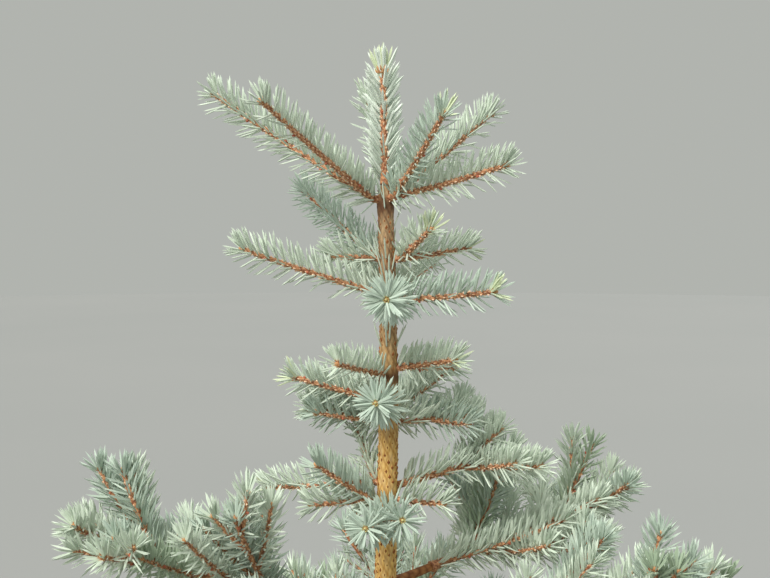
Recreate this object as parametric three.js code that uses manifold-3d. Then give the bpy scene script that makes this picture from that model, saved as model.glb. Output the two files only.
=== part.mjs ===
// A young blue spruce, 1.4 m tall, rooted in the ground. Millimetres, +Z up.
// The origin is the centre of the trunk's flat cut at ground level. +X is to the right and -Y is towards
// the viewer.
// The top is an open leader with tiers of single shoots. Below it longer boughs carry fans of twigs.
import * as THREE from 'three';
import Module from 'manifold-3d';

const wasm = await Module();
wasm.setup();

// Driving dimensions
const TREE_HEIGHT = 1400;
const LEADER_LENGTH = 93; // woody part of this year's leader, above the top whorl
const NEEDLE_LENGTH = 21;
const TRUNK_TOP = TREE_HEIGHT - LEADER_LENGTH - 14;
const TRUNK_SIDES = 12;
const TRUNK_RING_STEP = 90;
const STUMP_RADIUS = 16; // just above the root flare
const TRUNK_TOP_RADIUS = 5.6;
const FLARE_HEIGHT = 70;
const FLARE_SPREAD = 12;
const FLARE_LOBES = 5;
const SWAY = 3; // how far the trunk wanders off the plumb line
const CLEARANCE = 0.35; // gap between touching pieces
const GROUND_CLEARANCE = 12; // twigs and needles stay this far above the ground

// Colours
const BARK_COLOUR = 0x9c774a;
const BOUGH_COLOUR = 0x8a5f3e;
const NEEDLE_COLOUR = 0xa9beb0;

const radians = THREE.MathUtils.degToRad;
const lerp = THREE.MathUtils.lerp;

// A small repeatable generator, so that the twigs are the same on every run.
let seed = 1;
function reseed(value) {
  seed = value;
}
function random() {
  seed = (seed * 1664525 + 1013904223) % 4294967296;
  return seed / 4294967296;
}

// Heading is counted from +X towards +Y, and rise from the level, both in degrees.
function direction(heading, rise) {
  const h = radians(heading);
  const r = radians(rise);
  return new THREE.Vector3(Math.cos(h) * Math.cos(r), Math.sin(h) * Math.cos(r), Math.sin(r));
}

// The line of a limb or shoot: a gentle curve whose chord turns up by half of lift over its length.
function limbLine(start, heading, rise, lift, length) {
  return {
    heading,
    rise,
    lift,
    length,
    at: (t) => direction(heading, rise + (lift * t) / 2).multiplyScalar(length * t).add(start),
  };
}

function tangentOf(line, t) {
  const step = 0.01;
  return line.at(t + step).sub(line.at(t - step)).normalize();
}

// Trunk
function trunkAt(z) {
  const share = z / TRUNK_TOP;
  const swayPeriod = 310;
  const swayStart = TREE_HEIGHT - 420;
  return new THREE.Vector3(
    SWAY * share * Math.sin((Math.PI * (z - swayStart)) / swayPeriod),
    SWAY * share * Math.sin((Math.PI * z) / swayPeriod),
    z,
  );
}

function trunkRadius(z) {
  return lerp(STUMP_RADIUS, TRUNK_TOP_RADIUS, Math.max(0, z - FLARE_HEIGHT) / (TRUNK_TOP - FLARE_HEIGHT));
}

function flareRadius(z, angle) {
  const flare = Math.max(0, 1 - z / FLARE_HEIGHT) ** 2;
  return trunkRadius(z) + FLARE_SPREAD * flare * (0.75 + 0.45 * Math.cos(FLARE_LOBES * angle));
}

function trunkHeights() {
  const heights = [0, 10, 24, 44, FLARE_HEIGHT];
  const steps = Math.round((TRUNK_TOP - FLARE_HEIGHT) / TRUNK_RING_STEP);
  for (let i = 1; i <= steps; i += 1) heights.push(lerp(FLARE_HEIGHT, TRUNK_TOP, i / steps));
  return heights;
}

// Rings are level on anything that stands nearly upright, and square to the line elsewhere.
const UPRIGHT = 0.93;
function ringFrame(tangent) {
  const upright = new THREE.Vector3(0, 0, 1);
  if (tangent.z > UPRIGHT) {
    return { ahead: upright, side: new THREE.Vector3(1, 0, 0), top: new THREE.Vector3(0, -1, 0) };
  }
  const side = tangent.clone().cross(upright).normalize();
  return { ahead: tangent, side, top: side.clone().cross(tangent) };
}

function ringPoint(centre, frame, radius, angle) {
  return centre
    .clone()
    .addScaledVector(frame.side, radius * Math.cos(angle))
    .addScaledVector(frame.top, radius * Math.sin(angle));
}

// A skin is a body's surface while it is put together: its points, and its faces by their points' numbers.
function newSkin() {
  return { points: [], faces: [] };
}

function addRing(skin, centre, frame, radiusAt, sides, phase) {
  return Array.from({ length: sides }, (_, j) => {
    const angle = phase + (2 * Math.PI * j) / sides;
    return skin.points.push(ringPoint(centre, frame, radiusAt(angle), angle)) - 1;
  });
}

function centreOf(skin, ring) {
  const sum = ring.reduce((total, corner) => total.add(skin.points[corner]), new THREE.Vector3());
  return sum.divideScalar(ring.length);
}

// Joins two rings. Where the next one is turned forwards, the facets' folds are those that bulge.
// cover(corners, j) may cover a facet in its own way, and then returns true.
function addBand(skin, ring, next, cover = () => false) {
  ring.forEach((_, j) => {
    const k = (j + 1) % ring.length;
    const corners = [ring[j], next[j], next[k], ring[k]];
    if (cover(corners, j)) return;
    skin.faces.push([corners[0], corners[1], corners[3]], [corners[1], corners[2], corners[3]]);
  });
}

// A row of three or more points closed up as a fan: a foot faces backwards, and any other end forwards.
function addFlatEnd(skin, ring, isFoot) {
  for (let j = 1; j + 1 < ring.length; j += 1) {
    skin.faces.push(isFoot ? [ring[0], ring[j], ring[j + 1]] : [ring[0], ring[j + 1], ring[j]]);
  }
}

function addPoint(skin, ring, point) {
  const apex = skin.points.push(point) - 1;
  ring.forEach((corner, j) => skin.faces.push([corner, apex, ring[(j + 1) % ring.length]]));
}

function solidOf(skin) {
  const vertProperties = new Float32Array(skin.points.flatMap((p) => [p.x, p.y, p.z]));
  const triVerts = new Uint32Array(skin.faces.flat());
  return new wasm.Manifold(new wasm.Mesh({ numProp: 3, vertProperties, triVerts }));
}

function meshOf(name, solid, colour) {
  const { vertProperties, triVerts } = solid.getMesh();
  const geometry = new THREE.BufferGeometry();
  geometry.setAttribute('position', new THREE.BufferAttribute(vertProperties, 3));
  geometry.setIndex(new THREE.BufferAttribute(triVerts, 1));
  geometry.computeVertexNormals();
  const material = new THREE.MeshStandardMaterial({ color: colour, roughness: 0.75, metalness: 0 });
  const mesh = new THREE.Mesh(geometry, material);
  mesh.name = name;
  return mesh;
}

function trunkSolid(extra) {
  const skin = newSkin();
  const frame = ringFrame(new THREE.Vector3(0, 0, 1));
  const rings = trunkHeights().map((z) =>
    addRing(skin, trunkAt(z), frame, (angle) => flareRadius(z, angle) + extra, TRUNK_SIDES, 0),
  );
  addPoint(skin, [...rings[0]].reverse(), trunkAt(0)); // the flat cut, in wedges, as its outline has hollows
  for (let i = 0; i + 1 < rings.length; i += 1) addBand(skin, rings[i], rings[i + 1]);
  addFlatEnd(skin, rings[rings.length - 1], false);
  return solidOf(skin);
}

// Every line is kept as short straight stretches, so that later twigs and needles can keep clear of it.
const stretches = [];
function keepClearOf(line, from, to, radius, mass) {
  const count = Math.max(2, Math.ceil(((to - from) * line.length) / 25));
  for (let i = 0; i < count; i += 1) {
    const a = line.at(lerp(from, to, i / count));
    const b = line.at(lerp(from, to, (i + 1) / count));
    stretches.push({ a, b, radius, mass, line, along: b.clone().sub(a) });
  }
}

function distanceTo(stretch, point) {
  const toPoint = point.clone().sub(stretch.a);
  const share = THREE.MathUtils.clamp(toPoint.dot(stretch.along) / stretch.along.lengthSq(), 0, 1);
  return toPoint.addScaledVector(stretch.along, -share).length();
}

function clearOfTrunk(point, margin) {
  if (point.z > TRUNK_TOP) return true;
  const centre = trunkAt(point.z);
  const away = Math.hypot(point.x - centre.x, point.y - centre.y);
  return away > trunkRadius(point.z) + margin;
}

// The masses. Each is one stem or knot with the shoots that branch from it. A shoot is a line, the
// stretch of it that the shoot takes, its forks, and a style: the core's radii, the bare neck at its
// foot, the step from one ring of needles to the next, and the needles' length. A fork stands `at` mm
// from the foot and has up to three shoots.
const CORE_SIDES = 3;
const FORK_LENGTH = 7; // of the band that the shoots of a fork stand on
const FORK_PHASE = -Math.PI / 2; // turns the core so that its facets face right, up and left
const FACETS = { right: 0, up: 1, left: 2 };
const masses = [];

function newShoot(mass, line, style, from = 0, to = 1) {
  const shoot = { line, from, to, forks: [], ...style };
  keepClearOf(line, from, to, style.baseRadius, mass);
  return shoot;
}

// The leader and the tiers of single shoots at the top, each one read off the tree.
// A tier stands `below` the tree's top. A knot is the short foot at the trunk that its shoots spring
// from, on the side that faces `heading`. With a `reach` and `rise` of its own, it's a twig with
// needles, which forks that far from the bark. A shoot is [heading, rise, length], and they go from
// right to left. The length counts from the bark.
const SHOOT_STYLE = { baseRadius: 2.7, tipRadius: 1.6, neck: 7, pitch: 13, needle: NEEDLE_LENGTH };
const SHOOT_LIFT = 4;
const LEADER_STYLE = { ...SHOOT_STYLE, baseRadius: 4.2, tipRadius: 2.4, neck: 0, pitch: 9 };
const KNOT_STYLE = { ...SHOOT_STYLE, baseRadius: 3.6, tipRadius: 3.2, pitch: Infinity };
const KNOT_RISE = 12;
const KNOT_REACH = 5; // from the bark to where the shoots part
const TOP_TIERS = [
  { name: 'tier1_left', below: 119, heading: 198, shoots: [[170, 31, 151], [222, 31, 126]] },
  { name: 'tier1_right', below: 118, heading: 308, shoots: [[297, 35, 98], [322, 10, 105]] },
  { name: 'tier1_back', below: 119, heading: 66, shoots: [[28, 35, 117], [112, 56, 101]] },
  { name: 'tier2_left_back', below: 164, heading: 138, shoots: [[134, 30, 104], [168, 0, 40]] },
  { name: 'tier2_right', below: 164, heading: 350, shoots: [[300, 26, 51], [384, 5, 62]] },
  { name: 'tier2_left', below: 190, heading: 195, shoots: [[196, 16, 109]] },
  { name: 'tier2_front', below: 195, heading: 292, shoots: [[265, 2, 68], [331, 4, 87]] },
  { name: 'tier2_back', below: 190, heading: 82, shoots: [[62, 12, 80], [112, 10, 86]] },
  { name: 'tier3_front_left', below: 250, heading: 232, shoots: [[232, 11, 54]] },
  { name: 'tier3_right', below: 246, heading: 355, shoots: [[328, 8, 49], [394, -6, 52]] },
  { name: 'tier3_left', below: 270, heading: 175, shoots: [[150, 6, 62], [188, 14, 67]] },
  { name: 'tier3_front', below: 273, heading: 260, shoots: [[260, 8, 48]] },
  { name: 'tier3_back', below: 290, heading: 85, shoots: [[14, 0, 70], [76, 10, 88], [158, 6, 71]] },
  { name: 'tier4_left', below: 347, heading: 194, shoots: [[184, -6, 50], [205, 32, 58]] },
  { name: 'tier4_left_back', below: 335, heading: 141, shoots: [[118, 50, 60], [156, -10, 100]] },
  { name: 'tier4_right', below: 344, heading: 335, shoots: [[335, -2, 38]] },
  { name: 'tier4_front', below: 358, heading: 269, shoots: [[250, 0, 50], [288, 7, 42]] },
  {
    name: 'tier4_right_back',
    below: 336,
    heading: 20,
    rise: 11,
    reach: 54,
    shoots: [[-2, -1, 107], [48, 28, 101]],
  },
];
const FACETS_BY_COUNT = { 2: ['right', 'left'], 3: ['right', 'up', 'left'] };

function buildTopTiers() {
  const leader = limbLine(trunkAt(TRUNK_TOP + CLEARANCE), 175, 89, 0, LEADER_LENGTH);
  masses.push({ name: 'leader_shoot', stem: newShoot('leader_shoot', leader, LEADER_STYLE) });
  TOP_TIERS.forEach((tier) => {
    const { name, below, heading, shoots } = tier;
    const { reach: knotReach = KNOT_REACH, rise: knotRise = KNOT_RISE } = tier;
    const height = TREE_HEIGHT - below;
    const foot = trunkAt(height);
    const reach = trunkRadius(height) + knotReach;
    if (shoots.length === 1) {
      const [[shootHeading, rise, length]] = shoots;
      const line = limbLine(foot, shootHeading, rise, SHOOT_LIFT, length + reach - KNOT_REACH);
      masses.push({ name, stem: newShoot(name, line, { ...SHOOT_STYLE, neck: reach }) });
      return;
    }
    const knotLine = limbLine(foot, heading, knotRise, 0, reach + FORK_LENGTH / 2);
    const neck = reach - FORK_LENGTH / 2;
    const knot = { line: knotLine, from: 0, to: 1, forks: [], ...KNOT_STYLE, neck };
    if (knotReach > KNOT_REACH) {
      keepClearOf(knotLine, 0, 1, knot.baseRadius, name);
      Object.assign(knot, { neck: trunkRadius(height) + SHOOT_STYLE.neck, pitch: SHOOT_STYLE.pitch });
    }
    const start = knotLine.at(reach / knotLine.length);
    const twigs = shoots.map(([shootHeading, rise, length], i) => {
      const line = limbLine(start, shootHeading, rise, SHOOT_LIFT, length - knotReach);
      return { facet: FACETS[FACETS_BY_COUNT[shoots.length][i]], shoot: newShoot(name, line, SHOOT_STYLE) };
    });
    knot.forks.push({ at: reach, twigs });
    masses.push({ name, stem: knot });
  });
}

// The boughs below. They spiral down the trunk by the golden angle, so that they are even on all sides.
const BOUGH_COUNT = 20;
const BOUGH_TOP = TREE_HEIGHT - 412;
const BOUGH_BOTTOM = 96;
const BOUGH_FIRST_HEADING = 38;
const GOLDEN_ANGLE = 137.5;
const BOUGH_TURNS = { 1: 22, 2: 26 }; // degrees by which a bough stands off the even spiral
const BOUGH_REACH = [240, 520]; // along the bough, for the highest and the lowest
const BOUGH_RISE = [24, 1];
const BOUGH_TILTS = { 0: -15, 1: 4, 2: 4 }; // degrees by which a bough's rise stands off the even change
const BOUGH_LIFT = [-4, 13];
const BOUGH_BASE_RADIUS = [4.4, 7.6];
const BOUGH_TIP_SHARE = 0.72; // radius at the bough's end, where its mass begins, to that at its base
const BARE_SHARE = [0.19, 0.27]; // the bare length of a bough
const BOUGH_SIDES = 5;
const BOUGH_RINGS = [0, 0.08, 0.4, 1]; // as shares of the bare length
const COLLAR = 0.35; // how much thicker a bough is where it leaves the trunk

const STEM_SWELL = 1.1; // a stem's radius at its foot to that of its bough's end
const STEM_STYLE = { tipRadius: 2, neck: 0, pitch: 40, needle: 36 };
const TWIG_STYLE = { baseRadius: 2.8, tipRadius: 1.7, neck: 12, pitch: 44, needle: 40 };
const TWIG_SPACING = 90; // along the stem, between the forks of side twigs
const TWIG_TURN = [42, 56]; // how far a side twig turns off its stem
const TWIG_RISE = [-12, 18]; // to the stem's own rise, for the low and the high twig of a fork
const TWIG_LIFT = 10;
const TWIG_SHARES = [0.28, 0.9]; // of the stem's length, for the side twigs at its tip and at its foot
const TWIG_SPREAD = [0.85, 1.1]; // by how much the lengths vary
const FULLNESS = [0.66, 1]; // of the rule's reach, for the highest and the lowest bough's side twigs
const UPPER_TWIG_RISE = [34, 52]; // the twig that stands up from a fork
const UPPER_TWIG_SHARE = 0.34;
const SHORTEST_TWIG = 70;
const TWIG_MARGIN = 15; // from a twig to any other limb
const TRUNK_MARGIN = 14;
const LOWEST_TWIG = GROUND_CLEARANCE + 16;

function boughLines() {
  return Array.from({ length: BOUGH_COUNT }, (_, i) => {
    const share = i / (BOUGH_COUNT - 1);
    const height = lerp(BOUGH_TOP, BOUGH_BOTTOM, share);
    const heading = BOUGH_FIRST_HEADING + GOLDEN_ANGLE * i + (BOUGH_TURNS[i] || 0);
    const rise = lerp(...BOUGH_RISE, share) + (BOUGH_TILTS[i] || 0);
    const reach = lerp(...BOUGH_REACH, share);
    return {
      number: i + 1,
      share,
      line: limbLine(trunkAt(height), heading, rise, lerp(...BOUGH_LIFT, share), reach),
      baseRadius: lerp(...BOUGH_BASE_RADIUS, share),
      bare: lerp(...BARE_SHARE, share),
      fullness: lerp(...FULLNESS, share),
    };
  });
}

function boughSolid(bough, cutter) {
  const skin = newSkin();
  const rings = BOUGH_RINGS.map((share) => {
    const t = share * bough.bare;
    const frame = ringFrame(tangentOf(bough.line, t));
    const collar = share < BOUGH_RINGS[2] ? 1 + COLLAR * (1 - share / BOUGH_RINGS[2]) : 1;
    const radius = bough.baseRadius * lerp(1, BOUGH_TIP_SHARE, share) * collar;
    return addRing(skin, bough.line.at(t), frame, () => radius, BOUGH_SIDES, 0);
  });
  addFlatEnd(skin, rings[0], true);
  for (let i = 0; i + 1 < rings.length; i += 1) addBand(skin, rings[i], rings[i + 1]);
  addFlatEnd(skin, rings[rings.length - 1], false);
  return solidOf(skin).subtract(cutter);
}

// A twig grows only where it keeps clear of all that grew before it. Its first half may run near its own
// mass.
function twigIsClear(line, mass) {
  const steps = 8;
  for (let i = 2; i <= steps; i += 1) {
    const point = line.at(i / steps);
    if (point.z < LOWEST_TWIG || !clearOfTrunk(point, TRUNK_MARGIN)) return false;
    const near = stretches.some((s) => {
      if (s.mass === mass) return i > steps / 2 && distanceTo(s, point) < TWIG_MARGIN;
      return distanceTo(s, point) < s.radius + TWIG_MARGIN;
    });
    if (near) return false;
  }
  return true;
}

// Forks along the stem, each with a side twig to the right and the left, one low and one high, and one that
// stands up.
function buildBoughMass(bough) {
  const name = `mass_${String(bough.number).padStart(2, '0')}`;
  const { line, bare } = bough;
  const from = bare + CLEARANCE / line.length;
  const baseRadius = bough.baseRadius * BOUGH_TIP_SHARE * STEM_SWELL;
  const stem = newShoot(name, line, { ...STEM_STYLE, baseRadius }, from, 1);
  masses.push({ name, stem });
  reseed(9000 + bough.number);
  const stemLength = line.length * (1 - from);
  const forks = Math.max(2, Math.round(stemLength / TWIG_SPACING));
  for (let fork = 0; fork < forks; fork += 1) {
    const along = (fork + 0.3 + 0.2 * random()) / forks;
    const t = lerp(from, 1, along);
    const grow = (facet, turn, rise, share) => {
      const reach = share * bough.fullness * stemLength * lerp(...TWIG_SPREAD, random());
      const length = Math.max(SHORTEST_TWIG, reach);
      const riseHere = line.rise + line.lift * t + rise;
      const twig = limbLine(line.at(t), line.heading + turn, riseHere, TWIG_LIFT, length);
      return twigIsClear(twig, name) ? [{ facet, shoot: newShoot(name, twig, TWIG_STYLE) }] : [];
    };
    const sideTwig = (facet, side) => {
      const high = (fork % 2 === 0) === (side > 0) ? 1 : 0;
      const turn = side * lerp(...TWIG_TURN, random());
      return grow(facet, turn, TWIG_RISE[high] + lerp(-6, 6, random()), lerp(...TWIG_SHARES, 1 - along));
    };
    const right = sideTwig(FACETS.right, -1);
    const left = sideTwig(FACETS.left, 1);
    const upperTurn = lerp(-25, 25, random());
    const up = grow(FACETS.up, upperTurn, lerp(...UPPER_TWIG_RISE, random()), UPPER_TWIG_SHARE);
    stem.forks.push({ at: along * stemLength, twigs: [...right, ...left, ...up] });
  }
}

// How a needle leans: out from the core, ahead along the shoot and, but for the lowest, a little up.
const NEEDLE_AHEAD = { below: 0.95, above: 0.5, last: 0.9 }; // last is added on the ring at the shoot's tip
const NEEDLE_UP = 0.25;
const LOWEST_NEEDLE_SHARE = 0.8; // its length to that of the highest
const TIP_NEEDLE_SHARE = 0.62; // how far the shoot's own point stands ahead of the last ring
const NEEDLE_MARGIN = 2.2;

// A needle stays where its own shoot is nearest, and clear of the trunk and the ground.
function needleIsClear(shoot, foot, tip) {
  return [0.6, 1].every((share) => {
    const point = foot.clone().lerp(tip, share);
    if (point.z < GROUND_CLEARANCE || !clearOfTrunk(point, 3)) return false;
    let own = Infinity;
    let other = Infinity;
    stretches.forEach((s) => {
      if (s.line === shoot.line && s.mass) own = Math.min(own, distanceTo(s, point));
      else other = Math.min(other, distanceTo(s, point) - (s.mass ? 0 : s.radius));
    });
    return other > own + NEEDLE_MARGIN;
  });
}

// The bands of a shoot's core from foot to tip: its neck, the bands of needles, which twist the core by
// half a facet each, and the forks. The core comes to each fork with its facets facing right, up and left.
function bandsOf(shoot) {
  const length = (shoot.to - shoot.from) * shoot.line.length;
  const bands = [];
  let done = 0;
  const addBare = (end, twigs) => {
    bands.push({ start: done, end, twist: 0, twigs });
    done = end;
  };
  const addNeedled = (end, isLast) => {
    const count = Math.max(1, Math.round((end - done) / shoot.pitch));
    const turns = isLast ? count / 2 : Math.floor(count / 2);
    const twist = ((2 * Math.PI) / CORE_SIDES) * (turns / count);
    const start = done;
    for (let i = 1; i <= count; i += 1) {
      bands.push({ start: done, end: lerp(start, end, i / count), twist, needled: true });
      done = lerp(start, end, i / count);
    }
  };
  if (shoot.neck > 0) addBare(shoot.neck);
  shoot.forks.forEach(({ at, twigs }) => {
    if (at - FORK_LENGTH / 2 > done) addNeedled(at - FORK_LENGTH / 2, false);
    addBare(at + FORK_LENGTH / 2, twigs);
  });
  if (length > done) addNeedled(length, true);
  return bands.map((band) => ({
    ...band,
    start: lerp(shoot.from, shoot.to, band.start / length),
    end: lerp(shoot.from, shoot.to, band.end / length),
  }));
}

// Where a needle on this facet would have its tip, or nothing where there is no room for one.
function needleTip(shoot, middle, frame, foot, isLast) {
  const outward = foot.clone().sub(middle).normalize();
  const height = frame.ahead.z > UPRIGHT ? 0.3 : outward.dot(frame.top); // from -1, below, to 1, above
  const share = (height + 1) / 2;
  const ahead = lerp(NEEDLE_AHEAD.below, NEEDLE_AHEAD.above, share) + (isLast ? NEEDLE_AHEAD.last : 0);
  const up = height > -0.4 ? NEEDLE_UP : 0;
  const tip = outward.addScaledVector(frame.ahead, ahead).addScaledVector(frame.top, up).normalize();
  tip.multiplyScalar(shoot.needle * lerp(LOWEST_NEEDLE_SHARE, 1, share)).add(foot);
  return needleIsClear(shoot, foot, tip) ? tip : null;
}

// Grows a shoot on a skin from the ring of points at its foot: a slim twisted core with a needle
// standing on nearly every facet. Needles lean towards the tip. A fork's shoots grow on from half a
// facet each.
function growShoot(skin, shoot, foot) {
  const { line } = shoot;
  const bands = bandsOf(shoot);
  const radiusAt = (t) =>
    lerp(shoot.baseRadius, shoot.tipRadius, (t - shoot.from) / (shoot.to - shoot.from));
  const frameAt = (t) => ({ ...ringFrame(tangentOf(line, t)), centre: line.at(t) });
  let frame = frameAt(bands[0].start);
  let ring = foot;
  let phase = FORK_PHASE;
  if (foot) {
    const centre = centreOf(skin, foot);
    const first = skin.points[foot[0]].clone().sub(centre);
    const ahead = frameAt(bands[0].end);
    phase = Math.atan2(first.dot(ahead.top), first.dot(ahead.side));
  } else {
    ring = addRing(skin, frame.centre, frame, () => radiusAt(bands[0].start), CORE_SIDES, phase);
    addFlatEnd(skin, ring, true);
  }
  bands.forEach((band, i) => {
    phase += band.twist;
    const nextFrame = frameAt(band.end);
    const next = addRing(skin, nextFrame.centre, nextFrame, () => radiusAt(band.end), CORE_SIDES, phase);
    const middle = frame.centre.clone().lerp(nextFrame.centre, 0.5);
    addBand(skin, ring, next, (corners, j) => {
      if (band.needled) {
        const base = centreOf(skin, corners);
        const tip = needleTip(shoot, middle, frame, base, i === bands.length - 1);
        if (tip) addPoint(skin, [...corners].reverse(), tip);
        return Boolean(tip);
      }
      const twig = (band.twigs || []).find(({ facet }) => facet === j);
      if (!twig) return false;
      skin.faces.push([corners[0], corners[2], corners[3]]);
      growShoot(skin, twig.shoot, [corners[0], corners[2], corners[1]]);
      return true;
    });
    ring = next;
    frame = nextFrame;
  });
  const reach = Number.isFinite(shoot.pitch) ? shoot.needle * TIP_NEEDLE_SHARE : 1;
  addPoint(skin, ring, frame.centre.clone().addScaledVector(frame.ahead, reach));
}

function massSolid(mass) {
  const skin = newSkin();
  growShoot(skin, mass.stem, null);
  return solidOf(skin);
}

const spruce = new THREE.Group();
const trunkCutter = trunkSolid(CLEARANCE);
spruce.add(meshOf('trunk', trunkSolid(0), BARK_COLOUR));

buildTopTiers();
const boughs = boughLines();
boughs.forEach((bough) => keepClearOf(bough.line, 0, bough.bare, bough.baseRadius, null));
boughs.forEach((bough) => buildBoughMass(bough));
boughs.forEach((bough) => {
  const name = `bough_${String(bough.number).padStart(2, '0')}`;
  spruce.add(meshOf(name, boughSolid(bough, trunkCutter), BOUGH_COLOUR));
});
masses.forEach((mass) => {
  spruce.add(meshOf(mass.name, massSolid(mass).subtract(trunkCutter), NEEDLE_COLOUR));
});

export default spruce;
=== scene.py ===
import bpy
import numpy as np
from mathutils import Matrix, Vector, noise


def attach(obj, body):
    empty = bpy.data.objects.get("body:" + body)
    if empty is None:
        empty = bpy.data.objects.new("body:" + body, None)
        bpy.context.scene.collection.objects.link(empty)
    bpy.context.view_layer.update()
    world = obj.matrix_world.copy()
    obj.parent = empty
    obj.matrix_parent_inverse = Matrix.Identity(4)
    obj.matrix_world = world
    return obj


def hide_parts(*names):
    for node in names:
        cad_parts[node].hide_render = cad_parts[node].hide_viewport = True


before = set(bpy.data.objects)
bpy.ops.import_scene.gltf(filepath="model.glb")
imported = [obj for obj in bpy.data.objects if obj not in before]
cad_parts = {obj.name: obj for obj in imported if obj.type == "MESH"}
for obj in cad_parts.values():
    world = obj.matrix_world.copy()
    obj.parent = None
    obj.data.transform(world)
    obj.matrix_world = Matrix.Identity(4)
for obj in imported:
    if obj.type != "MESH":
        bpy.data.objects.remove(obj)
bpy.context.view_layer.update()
scene = bpy.context.scene

# The view. The tree's top is seen almost level from just under a metre away. The light is soft: a bright,
# broad source in front, a weaker one behind and an even sky. The tree stands on a wide, round, plain floor
# that is about as pale as the sky.
METRE = 1000
CAMERA_PLACE = (0, -950, 1270)
CAMERA_AIM = (0, 0, 1215)
SENSOR_WIDTH = 36
LENS = 59
LIGHT_AIM = (0, 0, 1150)
LIGHTS = (  # name, place, how wide it looks, strength and colour
    ("bright_sky", (-900, -1300, 2900), 36, 4, "#FFFDF8"),
    ("rim_light", (1500, 1300, 2300), 40, 1.2, "#F3F8FF"),
)
SKY_COLOUR = "#D0D3CD"
SKY_STRENGTH = 0.7
FLOOR_COLOURS = ("#8A8C8A", "#8F908E")
FLOOR_SPECKLE = 60
FLOOR_RADIUS = 20000
FLOOR_CORNERS = 96
COLOUR_A, COLOUR_B, MIXED = 6, 7, 2  # a Mix node's sockets for colours


def linear(colour):
    """An sRGB hex colour as linear red, green, blue and alpha."""
    parts = [int(colour[i : i + 2], 16) / 255 for i in (1, 3, 5)]
    return [c / 12.92 if c <= 0.04045 else ((c + 0.055) / 1.055) ** 2.4 for c in parts] + [1]


def add_node(owner, kind, values=None, links=None, **settings):
    """A node with its settings, its unlinked sockets' values, and what is linked to the others."""
    node = owner.node_tree.nodes.new(kind)
    for name, value in settings.items():
        setattr(node, name, value)
    for socket, value in (values or {}).items():
        node.inputs[socket].default_value = value
    for socket, source in (links or {}).items():
        owner.node_tree.links.new(source, node.inputs[socket])
    return node


def new_material(name):
    """A material with no nodes in it yet."""
    material = bpy.data.materials.new(name)
    material.use_nodes = True
    material.node_tree.nodes.clear()
    return material


def put_in_view(thing, place, aim):
    """Adds a camera or light at its place, turned towards its aim."""
    thing.location = Vector(place) / METRE
    thing.rotation_euler = (Vector(aim) - Vector(place)).to_track_quat("-Z", "Y").to_euler()
    scene.collection.objects.link(thing)


camera = bpy.data.objects.new("camera", bpy.data.cameras.new("camera"))
camera.data.sensor_width = SENSOR_WIDTH
camera.data.lens = LENS
put_in_view(camera, CAMERA_PLACE, CAMERA_AIM)
scene.camera = camera

sky = bpy.data.worlds.new("overcast_sky")
sky.use_nodes = True
sky.node_tree.nodes.clear()
glow = add_node(sky, "ShaderNodeBackground", {"Color": linear(SKY_COLOUR), "Strength": SKY_STRENGTH})
add_node(sky, "ShaderNodeOutputWorld", links={"Surface": glow.outputs[0]})
scene.world = sky
scene.view_settings.view_transform = "Standard"

for name, place, spread, strength, colour in LIGHTS:
    light = bpy.data.objects.new(name, bpy.data.lights.new(name, "SUN"))
    light.data.angle = np.radians(spread)
    light.data.energy = strength
    light.data.color = linear(colour)[:3]
    put_in_view(light, place, LIGHT_AIM)

# The floor is matt card, with hardly a gloss and two tones that are almost one.
card = new_material("pale_card")
speckle = add_node(card, "ShaderNodeTexNoise", {"Scale": METRE / FLOOR_SPECKLE})
tint = add_node(
    card,
    "ShaderNodeMix",
    {COLOUR_A: linear(FLOOR_COLOURS[0]), COLOUR_B: linear(FLOOR_COLOURS[1])},
    {"Factor": speckle.outputs[0]},
    data_type="RGBA",
)
shader = add_node(card, "ShaderNodeBsdfPrincipled", {"Roughness": 0.9}, {"Base Color": tint.outputs[MIXED]})
add_node(card, "ShaderNodeOutputMaterial", links={"Surface": shader.outputs[0]})
bpy.ops.mesh.primitive_circle_add(vertices=FLOOR_CORNERS, radius=FLOOR_RADIUS / METRE, fill_type="NGON")
floor = bpy.context.object
floor.name = "floor"
floor.data.materials.append(card)

# The trunk. One woody stem that tapers from a five-lobed root flare to the foot of the leader. Its bark is a
# thin, matt cork in lozenge-shaped cushions that wind up the stem, pale ochre over browner grooves. It is
# darker where it is newest, below the leader, and turns grey-brown and scaly towards the ground.
TREE_HEIGHT = 1400
LEADER_LENGTH = 93
LEADER_TUFT = 14  # how far the leader's bud and needles reach above its wood
TRUNK_TOP = TREE_HEIGHT - LEADER_LENGTH - LEADER_TUFT
STUMP_RADIUS = 16  # just above the root flare
TRUNK_TOP_RADIUS = 5.6
FLARE_HEIGHT = 70
FLARE_SPREAD = 12
FLARE_LOBES = 5
FLARE_EVEN = 0.75  # the share of the spread that is the same all round
FLARE_WAVE = 0.45  # the share that the lobes add to it and take from it
SWAY = 3  # how far the trunk wanders off the plumb line
SWAY_PERIOD = 310
SWAY_START = TREE_HEIGHT - 420
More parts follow.
